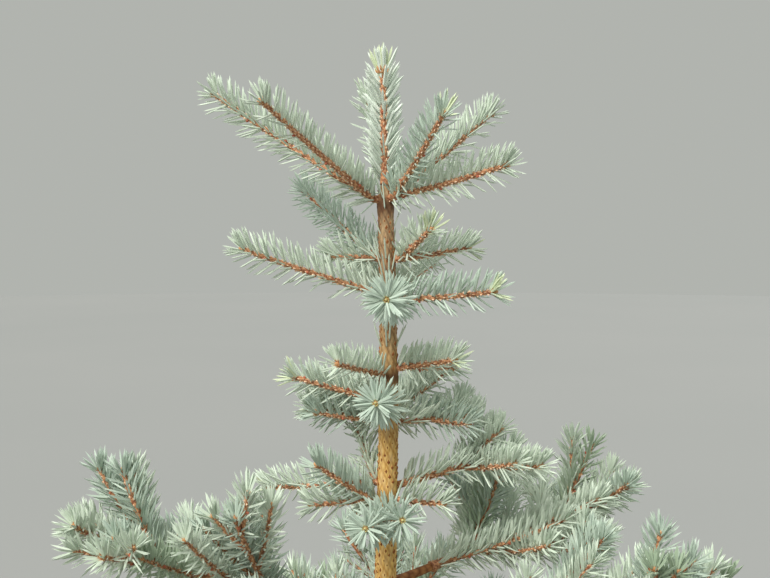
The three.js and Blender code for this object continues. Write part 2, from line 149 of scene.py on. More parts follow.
# The heights of the whorls' shoots, and how much each whorl swells the trunk
WHORLS = {1281: 1, 1236: 0.4, 1208: 0.6, 1152: 1, 1129: 0.6, 1110: 0.3, 1060: 0.5, 1042: 0.7}
WHORL_SWELL = 0.8
WHORL_DROP = 3  # how far below a whorl's shoots the trunk is thickest
WHORL_SPAN = 7
WHORL_SHADE_AND_STAIN = 0.85  # how much darker the bark is where it is most swollen, under each whorl's shoots: painted shade, with some of a real brown ring
GOLDEN_TURN = np.radians(137.508)
CUSHION_PITCH = 0.55  # height gained from one cushion to the next
CUSHION_LENGTH = 5.4  # half the length and width of a cushion, on a stem of CUSHION_STEM radius
CUSHION_WIDTH = 2.1
CUSHION_STEM = 7
CUSHION_SLOPE = 0.55  # the share of a cushion that slopes down to its grooves
CUSHION_RELIEF = 0.42
CUSHION_LEVEL = 0.6  # the share of the relief that is cut into the stem's plain radius
CUSHIONS_NEAR = 20  # how many cushions up and down the spiral can reach a point
OLD_CUSHIONS = 0.5  # how much of their relief is left on old bark
FLAKE_SIZE = 5
FLAKE_SQUASH = (1, 1, 0.4)  # flakes are longer up the stem than across it
FLAKE_RELIEF = (0.9, 0.12)  # on old and on young bark
YOUNG_BARK = (350, 900)  # heights between which old bark gives way to young, and young to the newest
NEWEST_BARK = (1080, 1200)
GROOVE_COLOURS = ("#5A4A3C", "#C08C43", "#6F5138")  # old, young and newest
CUSHION_COLOURS = ("#8F8270", "#EFC474", "#AB8660")
DRY_SKIN_COLOUR = "#DCC296"
DRY_SKIN_SIZE = 3
# The colour at the whorls is painted shade under the shoots that leave there, and partly a real brown ring.
WHORL_SHADE_AND_STAIN_COLOUR = "#5C3520"
CORK_PORE = 0.9
CORK_IOR = 1.45
FOOT_EDGE = 6  # the relief begins above this height, so that the flat foot is even
NECK_SHARE = 0.58  # how thick the trunk's end is, under the leader
NECK_LENGTH = 12
TRUNK_SIDES = 48
FINE_FROM = 950  # rings stand closer above this height, where the bark is seen near by
RING_STEP = 2.2
FINE_RING_STEP = 0.95


def lerp(a, b, share):
    return a + (b - a) * share


def fade(value, low, high):
    """0 at low and 1 at high, and smooth between them."""
    share = np.clip((value - low) / (high - low), 0, 1)
    return share * share * (3 - 2 * share)


def trunk_at(z):
    """The middle of the trunk at a height."""
    share = z / TRUNK_TOP
    x = SWAY * share * np.sin(np.pi * (z - SWAY_START) / SWAY_PERIOD)
    y = SWAY * share * np.sin(np.pi * z / SWAY_PERIOD)
    return np.stack([x, y, z + 0 * share], axis=-1)


def trunk_radius(z):
    return lerp(STUMP_RADIUS, TRUNK_TOP_RADIUS, np.maximum(0, z - FLARE_HEIGHT) / (TRUNK_TOP - FLARE_HEIGHT))


def whorl_at(z):
    """How swollen the trunk is: about 1 where most shoots leave it, and 0 between the whorls."""
    swellings = [
        share * np.exp(-(((z - height + WHORL_DROP) / WHORL_SPAN) ** 2)) for height, share in WHORLS.items()
    ]
    return sum(swellings)


def cushion_at(z, angle):
    """The bark's relief: 1 on the middle of a cushion, and 0 in the grooves round it."""
    size = np.sqrt(trunk_radius(z) / CUSHION_STEM)
    nearest = np.round(z / CUSHION_PITCH)
    crest = np.zeros_like(z)
    for step in range(-CUSHIONS_NEAR, CUSHIONS_NEAR + 1):
        number = nearest + step
        up = np.abs(z - number * CUSHION_PITCH)
        turn = (angle - number * GOLDEN_TURN + np.pi) % (2 * np.pi) - np.pi
        across = np.abs(turn) * trunk_radius(z)
        crest = np.maximum(crest, 1 - (up / CUSHION_LENGTH + across / CUSHION_WIDTH) / size)
    return fade(crest, 0, CUSHION_SLOPE)


def grain(points, size, octaves=3):
    """Smooth noise from about -1 to 1 at each point, with lumps of the given size in mm."""
    return np.array([noise.fractal(Vector(p) / size, 1, 2, octaves) for p in points.tolist()])


def closed_tube(rings):
    """Points and faces of a tube through rings of points, shut at both ends."""
    count, sides = rings.shape[:2]
    ring = np.arange(sides)
    after = (ring + 1) % sides
    start = np.arange(count - 1)[:, None] * sides
    walls = np.stack([start + ring, start + ring + sides, start + after + sides, start + after], axis=-1)
    middles = rings[[0, -1]].mean(axis=1)
    points = np.concatenate([rings.reshape(-1, 3), middles])
    foot = np.stack([ring, after, np.full(sides, count * sides)], axis=-1)
    last = (count - 1) * sides
    head = np.stack([last + after, last + ring, np.full(sides, count * sides + 1)], axis=-1)
    return points, [*walls.reshape(-1, 4).tolist(), *foot.tolist(), *head.tolist()]


def add_piece(name, points, faces, material, nodes, smooth):
    """A piece of the tree that stands for some of the model's nodes."""
    mesh = bpy.data.meshes.new(name)
    mesh.from_pydata((np.asarray(points) / METRE).tolist(), [], faces)
    if smooth:
        mesh.shade_smooth()
    mesh.materials.append(material)
    piece = bpy.data.objects.new(name, mesh)
    scene.collection.objects.link(piece)
    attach(piece, "root")
    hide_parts(*nodes)
    return piece


def add_shares(piece, name, shares):
    """A number at each of a piece's points, which its material reads by name."""
    attribute = piece.data.attributes.new(name, "FLOAT", "POINT")
    attribute.data.foreach_set("value", shares.astype(np.float32))


coarse_heights = np.arange(0, FINE_FROM, RING_STEP)
fine_heights = np.arange(FINE_FROM, TRUNK_TOP, FINE_RING_STEP)
heights = np.concatenate([coarse_heights, fine_heights, [TRUNK_TOP]])
z, angle = np.meshgrid(heights, 2 * np.pi * np.arange(TRUNK_SIDES) / TRUNK_SIDES, indexing="ij")
lobes = FLARE_EVEN + FLARE_WAVE * np.cos(FLARE_LOBES * angle)
flare = FLARE_SPREAD * np.maximum(0, 1 - z / FLARE_HEIGHT) ** 2 * lobes
around = np.stack([np.cos(angle), -np.sin(angle), 0 * angle], axis=-1)
plain = trunk_at(z) + around * (trunk_radius(z) + flare)[..., None]
cushions = cushion_at(z, angle)
youth = fade(z, *YOUNG_BARK)
flakes = grain((plain * FLAKE_SQUASH).reshape(-1, 3), FLAKE_SIZE).reshape(z.shape)
relief = CUSHION_RELIEF * lerp(OLD_CUSHIONS, 1, youth) * (cushions - CUSHION_LEVEL)
relief = relief + lerp(*FLAKE_RELIEF, youth) * flakes
relief = relief * fade(z, 0, FOOT_EDGE) + WHORL_SWELL * whorl_at(z)
rings = plain + around * relief[..., None]
neck = lerp(1, NECK_SHARE, fade(z, TRUNK_TOP - NECK_LENGTH, TRUNK_TOP))[..., None]
rings = lerp(trunk_at(z), rings, neck)
points, faces = closed_tube(rings)

# The bark is dry cork, matt and without a highlight. Cushions are paler than the grooves between them, and
# thin dry skin peels off them in specks. Its real pores are too fine to show, so they are drawn coarser.
bark = new_material("young_spruce_bark")
place = add_node(bark, "ShaderNodeTexCoord").outputs["Object"]
height = add_node(bark, "ShaderNodeSeparateXYZ", links={"Vector": place}).outputs["Z"]
crest = add_node(bark, "ShaderNodeAttribute", attribute_name="cushion").outputs["Fac"]
whorl = add_node(bark, "ShaderNodeAttribute", attribute_name="whorl").outputs["Fac"]
young, newest = (
    add_node(
        bark,
        "ShaderNodeMapRange",
        {"From Min": low / METRE, "From Max": high / METRE},
        {"Value": height},
    ).outputs[0]
    for low, high in (YOUNG_BARK, NEWEST_BARK)
)
shades = []
for old_colour, young_colour, newest_colour in (GROOVE_COLOURS, CUSHION_COLOURS):
    aged = add_node(
        bark,
        "ShaderNodeMix",
        {COLOUR_A: linear(old_colour), COLOUR_B: linear(young_colour)},
        {"Factor": young},
        data_type="RGBA",
    )
    shades.append(
        add_node(
            bark,
            "ShaderNodeMix",
            {COLOUR_B: linear(newest_colour)},
            {"Factor": newest, COLOUR_A: aged.outputs[MIXED]},
            data_type="RGBA",
        ).outputs[MIXED]
    )
cork = add_node(
    bark,
    "ShaderNodeMix",
    links={"Factor": crest, COLOUR_A: shades[0], COLOUR_B: shades[1]},
    data_type="RGBA",
)
along = add_node(bark, "ShaderNodeVectorMath", {1: (1, 1, 0.3)}, {0: place}, operation="MULTIPLY").outputs[0]
skin = add_node(bark, "ShaderNodeTexNoise", {"Scale": METRE / DRY_SKIN_SIZE, "Detail": 4}, {"Vector": along})
skin_share = add_node(
    bark,
    "ShaderNodeMapRange",
    {"From Min": 0.42, "From Max": 0.7, "To Max": 0.45},
    {"Value": skin.outputs[0]},
)
weathered = add_node(
    bark,
    "ShaderNodeMix",
    {COLOUR_B: linear(DRY_SKIN_COLOUR)},
    {"Factor": skin_share.outputs[0], COLOUR_A: cork.outputs[MIXED]},
    data_type="RGBA",
)
# Darker at each whorl: painted shade under the whorl's shoots, and partly a real brown ring.
shaded_and_stained = add_node(
    bark,
    "ShaderNodeMix",
    {COLOUR_B: linear(WHORL_SHADE_AND_STAIN_COLOUR)},
    {"Factor": whorl, COLOUR_A: weathered.outputs[MIXED]},
    data_type="RGBA",
)
pores = add_node(bark, "ShaderNodeTexNoise", {"Scale": METRE / CORK_PORE, "Detail": 3}, {"Vector": place})
rough = add_node(bark, "ShaderNodeMapRange", {"To Min": 0.7, "To Max": 0.95}, {"Value": pores.outputs[0]})
bump = add_node(
    bark, "ShaderNodeBump", {"Strength": 0.5, "Distance": 0.4 / METRE}, {"Height": pores.outputs[0]}
)
shader = add_node(
    bark,
    "ShaderNodeBsdfPrincipled",
    {"IOR": CORK_IOR},
    {"Base Color": shaded_and_stained.outputs[MIXED], "Roughness": rough.outputs[0], "Normal": bump.outputs[0]},
)
add_node(bark, "ShaderNodeOutputMaterial", links={"Surface": shader.outputs[0]})

trunk = add_piece("trunk_bark", points, faces, bark, ["trunk"], smooth=True)
# The whorl share darkens the bark there: painted shade under the shoots, and partly a real brown ring.
for name, shares in (("cushion", cushions), ("whorl", WHORL_SHADE_AND_STAIN * np.minimum(1, whorl_at(z)))):
    add_shares(trunk, name, np.append(shares.ravel(), [shares[0].mean(), shares[-1].mean()]))

# The leaf scars. A needle that falls leaves its woody peg behind, a small dark point on its cushion. Some
# are gone from the young bark, and on the old bark near the ground most have worn away.
SCAR_LENGTH = 2.5  # half its length and width, and how far it stands out
SCAR_WIDTH = 1.2
SCAR_HEIGHT = 0.7
SCAR_SIZES = (0.6, 1.15)
SCAR_WANDER = 0.5  # how far a scar strays from its cushion's middle, up the stem
SCAR_TURN = 0.06  # and round it, in radians
SCARRED_BARK = (300, 800)  # heights between which more and more scars are left
SCARS_LEFT = (0.25, 0.84)
SCARLESS = 4  # the trunk's last stretch, which has none
SCAR_SEAT = 0.35  # how high on a cushion's relief a scar sits, as a share
SCAR_SEED = 7
SCAR_COLOURS = ("#6E3B1B", "#AD672F")
SCAR_TONE_SIZE = 11
LOZENGE_ROOT = 0.3  # how deep a lozenge is sunk in the bark
LOZENGE_LEAN = 0.5  # how far forward its point leans, in half lengths


def lozenges(places, ahead, across, outward, length, width, height):
    """Small closed pegs: a lozenge sunk in the bark, with a point that leans forward."""
    sunk = places - LOZENGE_ROOT * outward
    ring = [sunk + length * ahead, sunk + width * across, sunk - length * ahead, sunk - width * across]
    tip = places + height * outward + LOZENGE_LEAN * length * ahead
    points = np.stack([*ring, tip], axis=1)
    pattern = np.array([[0, 4, 1], [1, 4, 2], [2, 4, 3], [3, 4, 0], [0, 1, 2], [0, 2, 3]])
    faces = pattern[None] + 5 * np.arange(len(places))[:, None, None]
    return points.reshape(-1, 3), faces.reshape(-1, 3)


chance = np.random.default_rng(SCAR_SEED)
number = np.arange(int(FLARE_HEIGHT / CUSHION_PITCH), int((TRUNK_TOP - SCARLESS) / CUSHION_PITCH))
kept = chance.random(len(number)) < lerp(*SCARS_LEFT, fade(number * CUSHION_PITCH, *SCARRED_BARK))
z = number[kept] * CUSHION_PITCH + chance.normal(0, SCAR_WANDER, kept.sum())
angle = number[kept] * GOLDEN_TURN + chance.normal(0, SCAR_TURN, kept.sum())
outward = np.stack([np.cos(angle), -np.sin(angle), 0 * angle], axis=-1)
across = np.stack([np.sin(angle), np.cos(angle), 0 * angle], axis=-1)
upward = np.zeros_like(outward) + (0, 0, 1)
size = np.sqrt(trunk_radius(z) / CUSHION_STEM)[:, None] * chance.uniform(*SCAR_SIZES, (len(z), 1))
places = trunk_at(z) + outward * (trunk_radius(z) + SCAR_SEAT * CUSHION_RELIEF)[:, None]
points, faces = lozenges(
    places, upward, across, outward, SCAR_LENGTH * size, SCAR_WIDTH * size, SCAR_HEIGHT * size
)

# The scars are dead wood: dull, dark and a little redder than the cork.
scar = new_material("dead_wood_of_leaf_scars")
place = add_node(scar, "ShaderNodeTexCoord").outputs["Object"]
stain = add_node(scar, "ShaderNodeTexNoise", {"Scale": METRE / SCAR_TONE_SIZE}, {"Vector": place})
tone = add_node(
    scar,
    "ShaderNodeMix",
    {COLOUR_A: linear(SCAR_COLOURS[0]), COLOUR_B: linear(SCAR_COLOURS[1])},
    {"Factor": stain.outputs[0]},
    data_type="RGBA",
)
shader = add_node(
    scar,
    "ShaderNodeBsdfPrincipled",
    {"Roughness": 0.85, "IOR": CORK_IOR},
    {"Base Color": tone.outputs[MIXED]},
)
add_node(scar, "ShaderNodeOutputMaterial", links={"Surface": shader.outputs[0]})
add_piece("trunk_leaf_scars", points, faces.tolist(), scar, ["trunk"], smooth=False)

# The leader and the tiers of single shoots at the top. Each shoot is one season's growth, a slim twig that
# springs from a knot on the trunk, and two or three may share a knot. They are green wood under a thin
# orange-brown bark, which is made with that of the other twigs below.
SHOOT_LIFT = 4
FACING = 22  # a shoot whose heading is nearer than this to the view's points at the viewer
VIEWER_HEADING = 270
SHOOT_RADII = (2.3, 1.65)  # at its foot and its tip, without the pegs that its needles stand on
LEADER_RADII = (2.9, 2.1)
LEADER_HEADING = 175
LEADER_RISE = 89
LEADER_BUD = 0.9  # how far up the leader its bud sits
KNOT_RADII = (2.9, 2.5)
KNOT_OVERLAP = 2  # how far a knot goes on past the place where its shoots fork
SHORT_KNOT = (12, 5)  # how a knot rises, and how far it stands out of the bark
LONE_SHOOT_BARE = 1  # bare stretches outside the bark
LONG_KNOT_BARE = 6
CLEARANCE = 0.35  # gap between two pieces that meet
UPRIGHT = 68  # a line that rises more steeply has its top towards the viewer
LINE_STEP = 0.01  # a short step along a line, to find which way it goes
STRETCH_ROOM = 12000  # more stretches than the tree has
STRETCH_LENGTH = 25
TOP_TIERS = (  # node, depth below the tree's top, and its knot, then each shoot's heading, rise and length
    ("tier1_left", 119, 198, SHORT_KNOT, ((170, 31, 151), (222, 31, 126))),
    ("tier1_right", 118, 308, SHORT_KNOT, ((297, 35, 98), (322, 10, 105))),
    ("tier1_back", 119, 66, SHORT_KNOT, ((28, 35, 117), (112, 56, 101))),
    ("tier2_left_back", 164, 138, SHORT_KNOT, ((134, 30, 104), (168, 0, 40))),
    ("tier2_right", 164, 350, SHORT_KNOT, ((300, 26, 51), (384, 5, 62))),
    ("tier2_left", 190, 195, SHORT_KNOT, ((196, 16, 109),)),
    ("tier2_front", 195, 292, SHORT_KNOT, ((265, 2, 68), (331, 4, 87))),
    ("tier2_back", 190, 82, SHORT_KNOT, ((62, 12, 80), (112, 10, 86))),
    ("tier3_front_left", 250, 232, SHORT_KNOT, ((232, 11, 54),)),
    ("tier3_right", 246, 355, SHORT_KNOT, ((328, 8, 49), (394, -6, 52))),
    ("tier3_left", 270, 175, SHORT_KNOT, ((150, 6, 62), (188, 14, 67))),
    ("tier3_front", 273, 260, SHORT_KNOT, ((260, 8, 48),)),
    ("tier3_back", 290, 85, SHORT_KNOT, ((14, 0, 70), (76, 10, 88), (158, 6, 71))),
    ("tier4_left", 347, 194, SHORT_KNOT, ((184, -6, 50), (205, 32, 58))),
    ("tier4_left_back", 335, 141, SHORT_KNOT, ((118, 50, 60), (156, -10, 100))),
    ("tier4_right", 344, 335, SHORT_KNOT, ((335, -2, 38),)),
    ("tier4_front", 358, 269, SHORT_KNOT, ((250, 0, 50), (288, 7, 42))),
    ("tier4_right_back", 336, 20, (11, 54), ((-2, -1, 107), (48, 28, 101))),
)


def direction(heading, rise):
    """Heading is counted from +X towards +Y, and rise from the level."""
    h = np.radians(heading)
    r = np.radians(rise)
    return np.stack([np.cos(h) * np.cos(r), np.sin(h) * np.cos(r), np.sin(r) + 0 * h], axis=-1)


def unit(vectors):
    return vectors / np.linalg.norm(vectors, axis=-1, keepdims=True)


class Line:
    """The line of a limb or shoot: a gentle curve whose chord turns up by half of lift over its length."""

    def __init__(self, start, heading, rise, lift, length):
        self.start = np.asarray(start, float)
        self.heading = heading
        self.rise = rise
        self.lift = lift
        self.length = length

    def at(self, t):
        t = np.asarray(t, float)
        way = direction(self.heading, self.rise + self.lift * t / 2)
        return self.start + way * (self.length * t)[..., None]

    def frame(self, t):
        """Unit vectors ahead, to the side and to the top. An upright line's top faces the viewer."""
        ahead = unit(self.at(t + LINE_STEP) - self.at(t - LINE_STEP))
        side = unit(np.cross(ahead, (0, -1, 0) if self.rise > UPRIGHT else (0, 0, 1)))
        return ahead, side, np.cross(side, ahead)


class Stretches:
    """Every limb as short straight stretches, so that later twigs and needles can keep clear of it."""

    def __init__(self, room):
        self.count = 0
        self.foot = np.zeros((room, 3))
        self.along = np.zeros((room, 3))
        self.radius = np.zeros(room)
        self.mass = np.zeros(room, int)
        self.shoot = np.zeros(room, int)

    def add(self, line, start, end, radius, mass, shoot):
        pieces = max(2, int(np.ceil((end - start) * line.length / STRETCH_LENGTH)))
        points = line.at(lerp(start, end, np.arange(pieces + 1) / pieces))
        new = slice(self.count, self.count + pieces)
        self.foot[new] = points[:-1]
        self.along[new] = points[1:] - points[:-1]
        self.radius[new] = radius
        self.mass[new] = mass
        self.shoot[new] = shoot
        self.count += pieces

    def distances(self, points, which):
        """From each point to each of the chosen stretches."""
        foot = self.foot[which]
        along = self.along[which]
        to_point = points[:, None] - foot
        share = np.clip((to_point * along).sum(-1) / (along * along).sum(-1), 0, 1)
        return np.linalg.norm(to_point - along * share[..., None], axis=-1)


class Shoot:
    """A twig along part of a line. It is bare for its first stretch, and its needles stand on the rest."""

    def __init__(self, node, line, radii, start=0, end=1, bare=7, kind="side"):
        self.node = node
        self.line = line
        self.radii = radii
        self.start = start
        self.end = end
        self.bare = bare
        self.kind = kind
        self.length = (end - start) * line.length
        self.number = len(shoots)
        shoots.append(self)

    def t_at(self, mm):
        return self.start + np.asarray(mm, float) / self.line.length

    def radius_at(self, mm):
        return lerp(*self.radii, np.asarray(mm, float) / self.length)


shoots = []
stretches = Stretches(STRETCH_ROOM)
NODE_NUMBERS = {name: i for i, name in enumerate(sorted(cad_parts))}


def grow(node, line, radii, **settings):
    """A shoot that later ones keep clear of."""
    shoot = Shoot(node, line, radii, **settings)
    stretches.add(line, shoot.start, shoot.end, radii[0], NODE_NUMBERS[node], shoot.number)


def kind_of(heading):
    return "facing" if abs(heading - VIEWER_HEADING) < FACING else "side"


leader = Line(trunk_at(TRUNK_TOP + CLEARANCE), LEADER_HEADING, LEADER_RISE, 0, LEADER_LENGTH)
grow("leader_shoot", leader, LEADER_RADII, end=LEADER_BUD, kind="leader")
for name, below, knot_heading, (knot_rise, knot_reach), twigs in TOP_TIERS:
    height = TREE_HEIGHT - below
    foot = trunk_at(height)
    reach = trunk_radius(height) + knot_reach
    if len(twigs) == 1:
        heading, rise, length = twigs[0]
        line = Line(foot, heading, rise, SHOOT_LIFT, length + reach - knot_reach)
        grow(name, line, SHOOT_RADII, bare=reach - knot_reach + LONE_SHOOT_BARE, kind=kind_of(heading))
        continue
    knot = Line(foot, knot_heading, knot_rise, 0, reach + KNOT_OVERLAP)
    if knot_reach > SHORT_KNOT[1]:
        grow(name, knot, KNOT_RADII, bare=reach - knot_reach + LONG_KNOT_BARE, kind="link")
    else:
        Shoot(name, knot, KNOT_RADII, bare=trunk_radius(height), kind="knot")
    for heading, rise, length in twigs:
        line = Line(knot.at(reach / knot.length), heading, rise, SHOOT_LIFT, length - knot_reach)
        grow(name, line, SHOOT_RADII, bare=0, kind=kind_of(heading))

# The boughs. Twenty tapering limbs spiral down the trunk, each with a collar where it was laid down in the
# trunk's wood. Their bark is orange-brown where they are young, towards their tips and high up in the tree,
# and flakes to grey-brown on the older ones.
BOUGH_COUNT = 20
BOUGH_TOP = TREE_HEIGHT - 412
BOUGH_BOTTOM = 96
BOUGH_FIRST_HEADING = 38
GOLDEN_ANGLE = 137.5
BOUGH_TURNS = {1: 22, 2: 26}  # by how much a bough stands off the even spiral, and off the even rise
BOUGH_TILTS = {0: -15, 1: 4, 2: 4}
BOUGH_REACH = (240, 520)  # for this and the next pairs, the highest and the lowest bough
BOUGH_RISE = (24, 1)
BOUGH_LIFT = (-4, 13)
BOUGH_BASE_RADIUS = (4.4, 7.6)
BARE_SHARE = (0.19, 0.27)
FULLNESS = (0.66, 1)  # how far twigs reach out, to the rule's full reach
BOUGH_RELIEF = (0.3, 0.7)
BOUGH_LUMP = 4
BOUGH_TIP_SHARE = 0.72
COLLAR = 0.35
COLLAR_SHARE = 0.4  # the share of its bare wood over which a bough's collar runs out
BOUGH_SIDES = 20
BOUGH_RING_STEP = 1.6
YOUNG_BOUGHS = (300, 900)  # heights between which a bough's bark is young to its foot
YOUNG_WOOD = (0.35, 1)  # shares of its bare wood between which it is young at any height
BOUGH_GROOVES = ("#57463A", "#7C4826")  # old and young
BOUGH_FLAKES = ("#8A7A67", "#B97F4B")
BOUGH_FLAKE_SIZE = 4.5


class Bough:
    """A bough's line and sizes, from its number down the tree."""

    def __init__(self, number):
        share = (number - 1) / (BOUGH_COUNT - 1)
        turn = GOLDEN_ANGLE * (number - 1) + BOUGH_TURNS.get(number - 1, 0)
        start = trunk_at(lerp(BOUGH_TOP, BOUGH_BOTTOM, share))
        rise = lerp(*BOUGH_RISE, share) + BOUGH_TILTS.get(number - 1, 0)
        lift = lerp(*BOUGH_LIFT, share)
        length = lerp(*BOUGH_REACH, share)
        self.number = number
        self.share = share
        self.node = f"bough_{number:02d}"
        self.mass = f"mass_{number:02d}"
        self.line = Line(start, BOUGH_FIRST_HEADING + turn, rise, lift, length)
        self.fullness = lerp(*FULLNESS, share)
        self.base_radius = lerp(*BOUGH_BASE_RADIUS, share)
        self.tip_radius = self.base_radius * BOUGH_TIP_SHARE
        self.bare = lerp(*BARE_SHARE, share)


def tube_rings(line, stations, radius, sides):
    """Rings of points round a line at each station, the first point of each at the line's side."""
    _, side, top = line.frame(stations)
    angle = 2 * np.pi * np.arange(sides) / sides
    around = side[:, None] * np.cos(angle)[:, None] + top[:, None] * np.sin(angle)[:, None]
    return line.at(stations)[:, None] + around * np.broadcast_to(radius, (len(stations), sides))[..., None]


def joined(meshes):
    """Several (points, faces) as one."""
    points, faces, done = [], [], 0
    for some_points, some_faces in meshes:
        points.append(some_points)
        faces.extend([[corner + done for corner in face] for face in some_faces])
        done += len(some_points)
    return np.concatenate(points), faces


# Like the trunk's, this bark is dull cork. It breaks into flakes with darker edges, and its fibres are drawn
# coarser than real, so that they show.
bough_bark = new_material("orange_brown_bough_bark")
place = add_node(bough_bark, "ShaderNodeTexCoord").outputs["Object"]
height = add_node(bough_bark, "ShaderNodeSeparateXYZ", links={"Vector": place}).outputs["Z"]
flakes = add_node(
    bough_bark, "ShaderNodeTexVoronoi", {"Scale": METRE / BOUGH_FLAKE_SIZE}, {"Vector": place}
)
high_up = add_node(
    bough_bark,
    "ShaderNodeMapRange",
    {"From Min": YOUNG_BOUGHS[0] / METRE, "From Max": YOUNG_BOUGHS[1] / METRE},
    {"Value": height},
).outputs[0]
far_out = add_node(bough_bark, "ShaderNodeAttribute", attribute_name="far_out").outputs["Fac"]
young = add_node(
    bough_bark, "ShaderNodeMath", links={0: high_up, 1: far_out}, operation="MAXIMUM"
).outputs[0]
shades = []
for old_colour, young_colour in (BOUGH_GROOVES, BOUGH_FLAKES):
    shades.append(
        add_node(
            bough_bark,
            "ShaderNodeMix",
            {COLOUR_A: linear(old_colour), COLOUR_B: linear(young_colour)},
            {"Factor": young},
            data_type="RGBA",
        ).outputs[MIXED]
    )
flake_middle = add_node(
    bough_bark,
    "ShaderNodeMapRange",
    {"From Min": 0.2, "From Max": 0.75, "To Min": 1, "To Max": 0},
    {"Value": flakes.outputs["Distance"]},
)
tone = add_node(
    bough_bark,
    "ShaderNodeMix",
    links={"Factor": flake_middle.outputs[0], COLOUR_A: shades[0], COLOUR_B: shades[1]},
    data_type="RGBA",
)
fibres = add_node(
    bough_bark, "ShaderNodeTexNoise", {"Scale": METRE / CORK_PORE, "Detail": 3}, {"Vector": place}
)
rough = add_node(
    bough_bark, "ShaderNodeMapRange", {"To Min": 0.65, "To Max": 0.92}, {"Value": fibres.outputs[0]}
)
bump = add_node(
    bough_bark, "ShaderNodeBump", {"Strength": 0.5, "Distance": 0.4 / METRE}, {"Height": fibres.outputs[0]}
)
shader = add_node(
    bough_bark,
    "ShaderNodeBsdfPrincipled",
    {"IOR": CORK_IOR},
    {"Base Color": tone.outputs[MIXED], "Roughness": rough.outputs[0], "Normal": bump.outputs[0]},
)
add_node(bough_bark, "ShaderNodeOutputMaterial", links={"Surface": shader.outputs[0]})

boughs = [Bough(number) for number in range(1, BOUGH_COUNT + 1)]
for bough in boughs:
    line = bough.line
    stretches.add(line, 0, bough.bare, bough.base_radius, -1, -1)
    stations = np.linspace(0, bough.bare, int(bough.bare * line.length / BOUGH_RING_STEP))
    share = (stations / bough.bare)[:, None]
    collar = 1 + COLLAR * np.maximum(0, 1 - share / COLLAR_SHARE)
    radius = lerp(bough.base_radius, bough.tip_radius, share) * collar
    plain = tube_rings(line, stations, radius, BOUGH_SIDES)
    lumps = grain(plain.reshape(-1, 3), BOUGH_LUMP).reshape(plain.shape[:2])
    radius = radius + lerp(*BOUGH_RELIEF, bough.share) * lumps
    points, faces = closed_tube(tube_rings(line, stations, radius, BOUGH_SIDES))
    name = f"{bough.node}_bark"
    piece = add_piece(name, points, faces, bough_bark, [bough.node], smooth=True)
    shares = np.append(np.repeat(fade(share[:, 0], *YOUNG_WOOD), BOUGH_SIDES), [0, 1])
    add_shares(piece, "far_out", shares)

# The stems and twigs of the foliage. A stem carries each bough on to its tip, with forks of side twigs, low
# and high by turns, and one that stands up. From these spring finer side shoots, the last season's growth.
# The same seeded rule grew the model's solids, and here it only goes on to finer shoots.
STEM_SWELL = 1.1
STEM_TIP_RADIUS = 1.9
STEM_BARE = 2
TWIG_SEEDS = 9000
TWIG_RADII = (2.6, 1.6)
TWIG_SPACING = 90
FORK_PLACE = 0.3  # how far up its stretch of the stem a fork is at least, as a share
FORK_WANDER = 0.2
TWIG_TURN = (42, 56)
TWIG_RISE = (-12, 18)  # of a low and of a high twig
TWIG_WANDER = (-6, 6)
TWIG_LIFT = 10
TWIG_SHARES = (0.28, 0.9)  # of the stem's length, at its tip and at its foot
TWIG_SPREAD = (0.85, 1.1)
UPPER_TWIG_TURN = (-25, 25)
UPPER_TWIG_RISE = (34, 52)
UPPER_TWIG_SHARE = 0.34
SHORTEST_TWIG = 70
TWIG_MARGIN = 15
TRUNK_MARGIN = 14
GROUND_CLEARANCE = 12
LOWEST_TWIG = GROUND_CLEARANCE + 16
SIDE_SHOOT_SEEDS = 20000
SIDE_SHOOT_STEP = 40  # along one flank, from one side shoot to the next
SIDE_SHOOT_FIRST = (0.4, 0.8)  # of the step, from the twig's bare stretch
SIDE_SHOOT_WANDER = (0.85, 1.2)
SIDE_SHOOT_END = 16  # the twig's last stretch, which has none
SIDE_SHOOT_TURN = (38, 52)
SIDE_SHOOT_RISE = (-8, 14)
SIDE_SHOOT_REACH = 0.62  # of the twig that is left, and SIDE_SHOOT_LEAST more
SIDE_SHOOT_LEAST = 18
SIDE_SHOOT_LENGTHS = (34, 96)
SIDE_SHOOT_SPREAD = (0.85, 1.1)
SIDE_SHOOT_RADII = (1.9, 1.3)
SIDE_SHOOT_BARE = 3
SIDE_SHOOT_MARGIN = 8
LOWEST_SIDE_SHOOT = LOWEST_TWIG - 4
SECOND_YEAR = ("tier3_back", "tier4_right_back")  # the tiers that have side shoots by now
SECOND_YEAR_STEP = 0.62 * SIDE_SHOOT_STEP


class TwigChance:
    """A small repeatable generator, so that the twigs are the same as the solids'."""

    def __init__(self, seed):
        self.seed = seed

    def next(self):
        self.seed = (self.seed * 1664525 + 1013904223) % 4294967296
        return self.seed / 4294967296

    def between(self, low, high):
        return lerp(low, high, self.next())


def clear_of_trunk(points, margin):
    z = points[..., 2]
    away = np.linalg.norm((points - trunk_at(z))[..., :2], axis=-1)
    return (z > TRUNK_TOP) | (away > trunk_radius(z) + margin)


def is_clear(line, mass, margin, lowest):
    """True where a twig keeps clear of all that grew before it. Its first half may run near its own mass."""
    points = line.at(np.arange(2, 9) / 8)
    if points[:, 2].min() < lowest or not clear_of_trunk(points, TRUNK_MARGIN).all():
        return False
    which = slice(0, stretches.count)
    away = stretches.distances(points, which)
    own = stretches.mass[which] == mass
    if (away[3:][:, own] < margin).any():
        return False
    return not (away[:, ~own] < stretches.radius[which][~own] + margin).any()


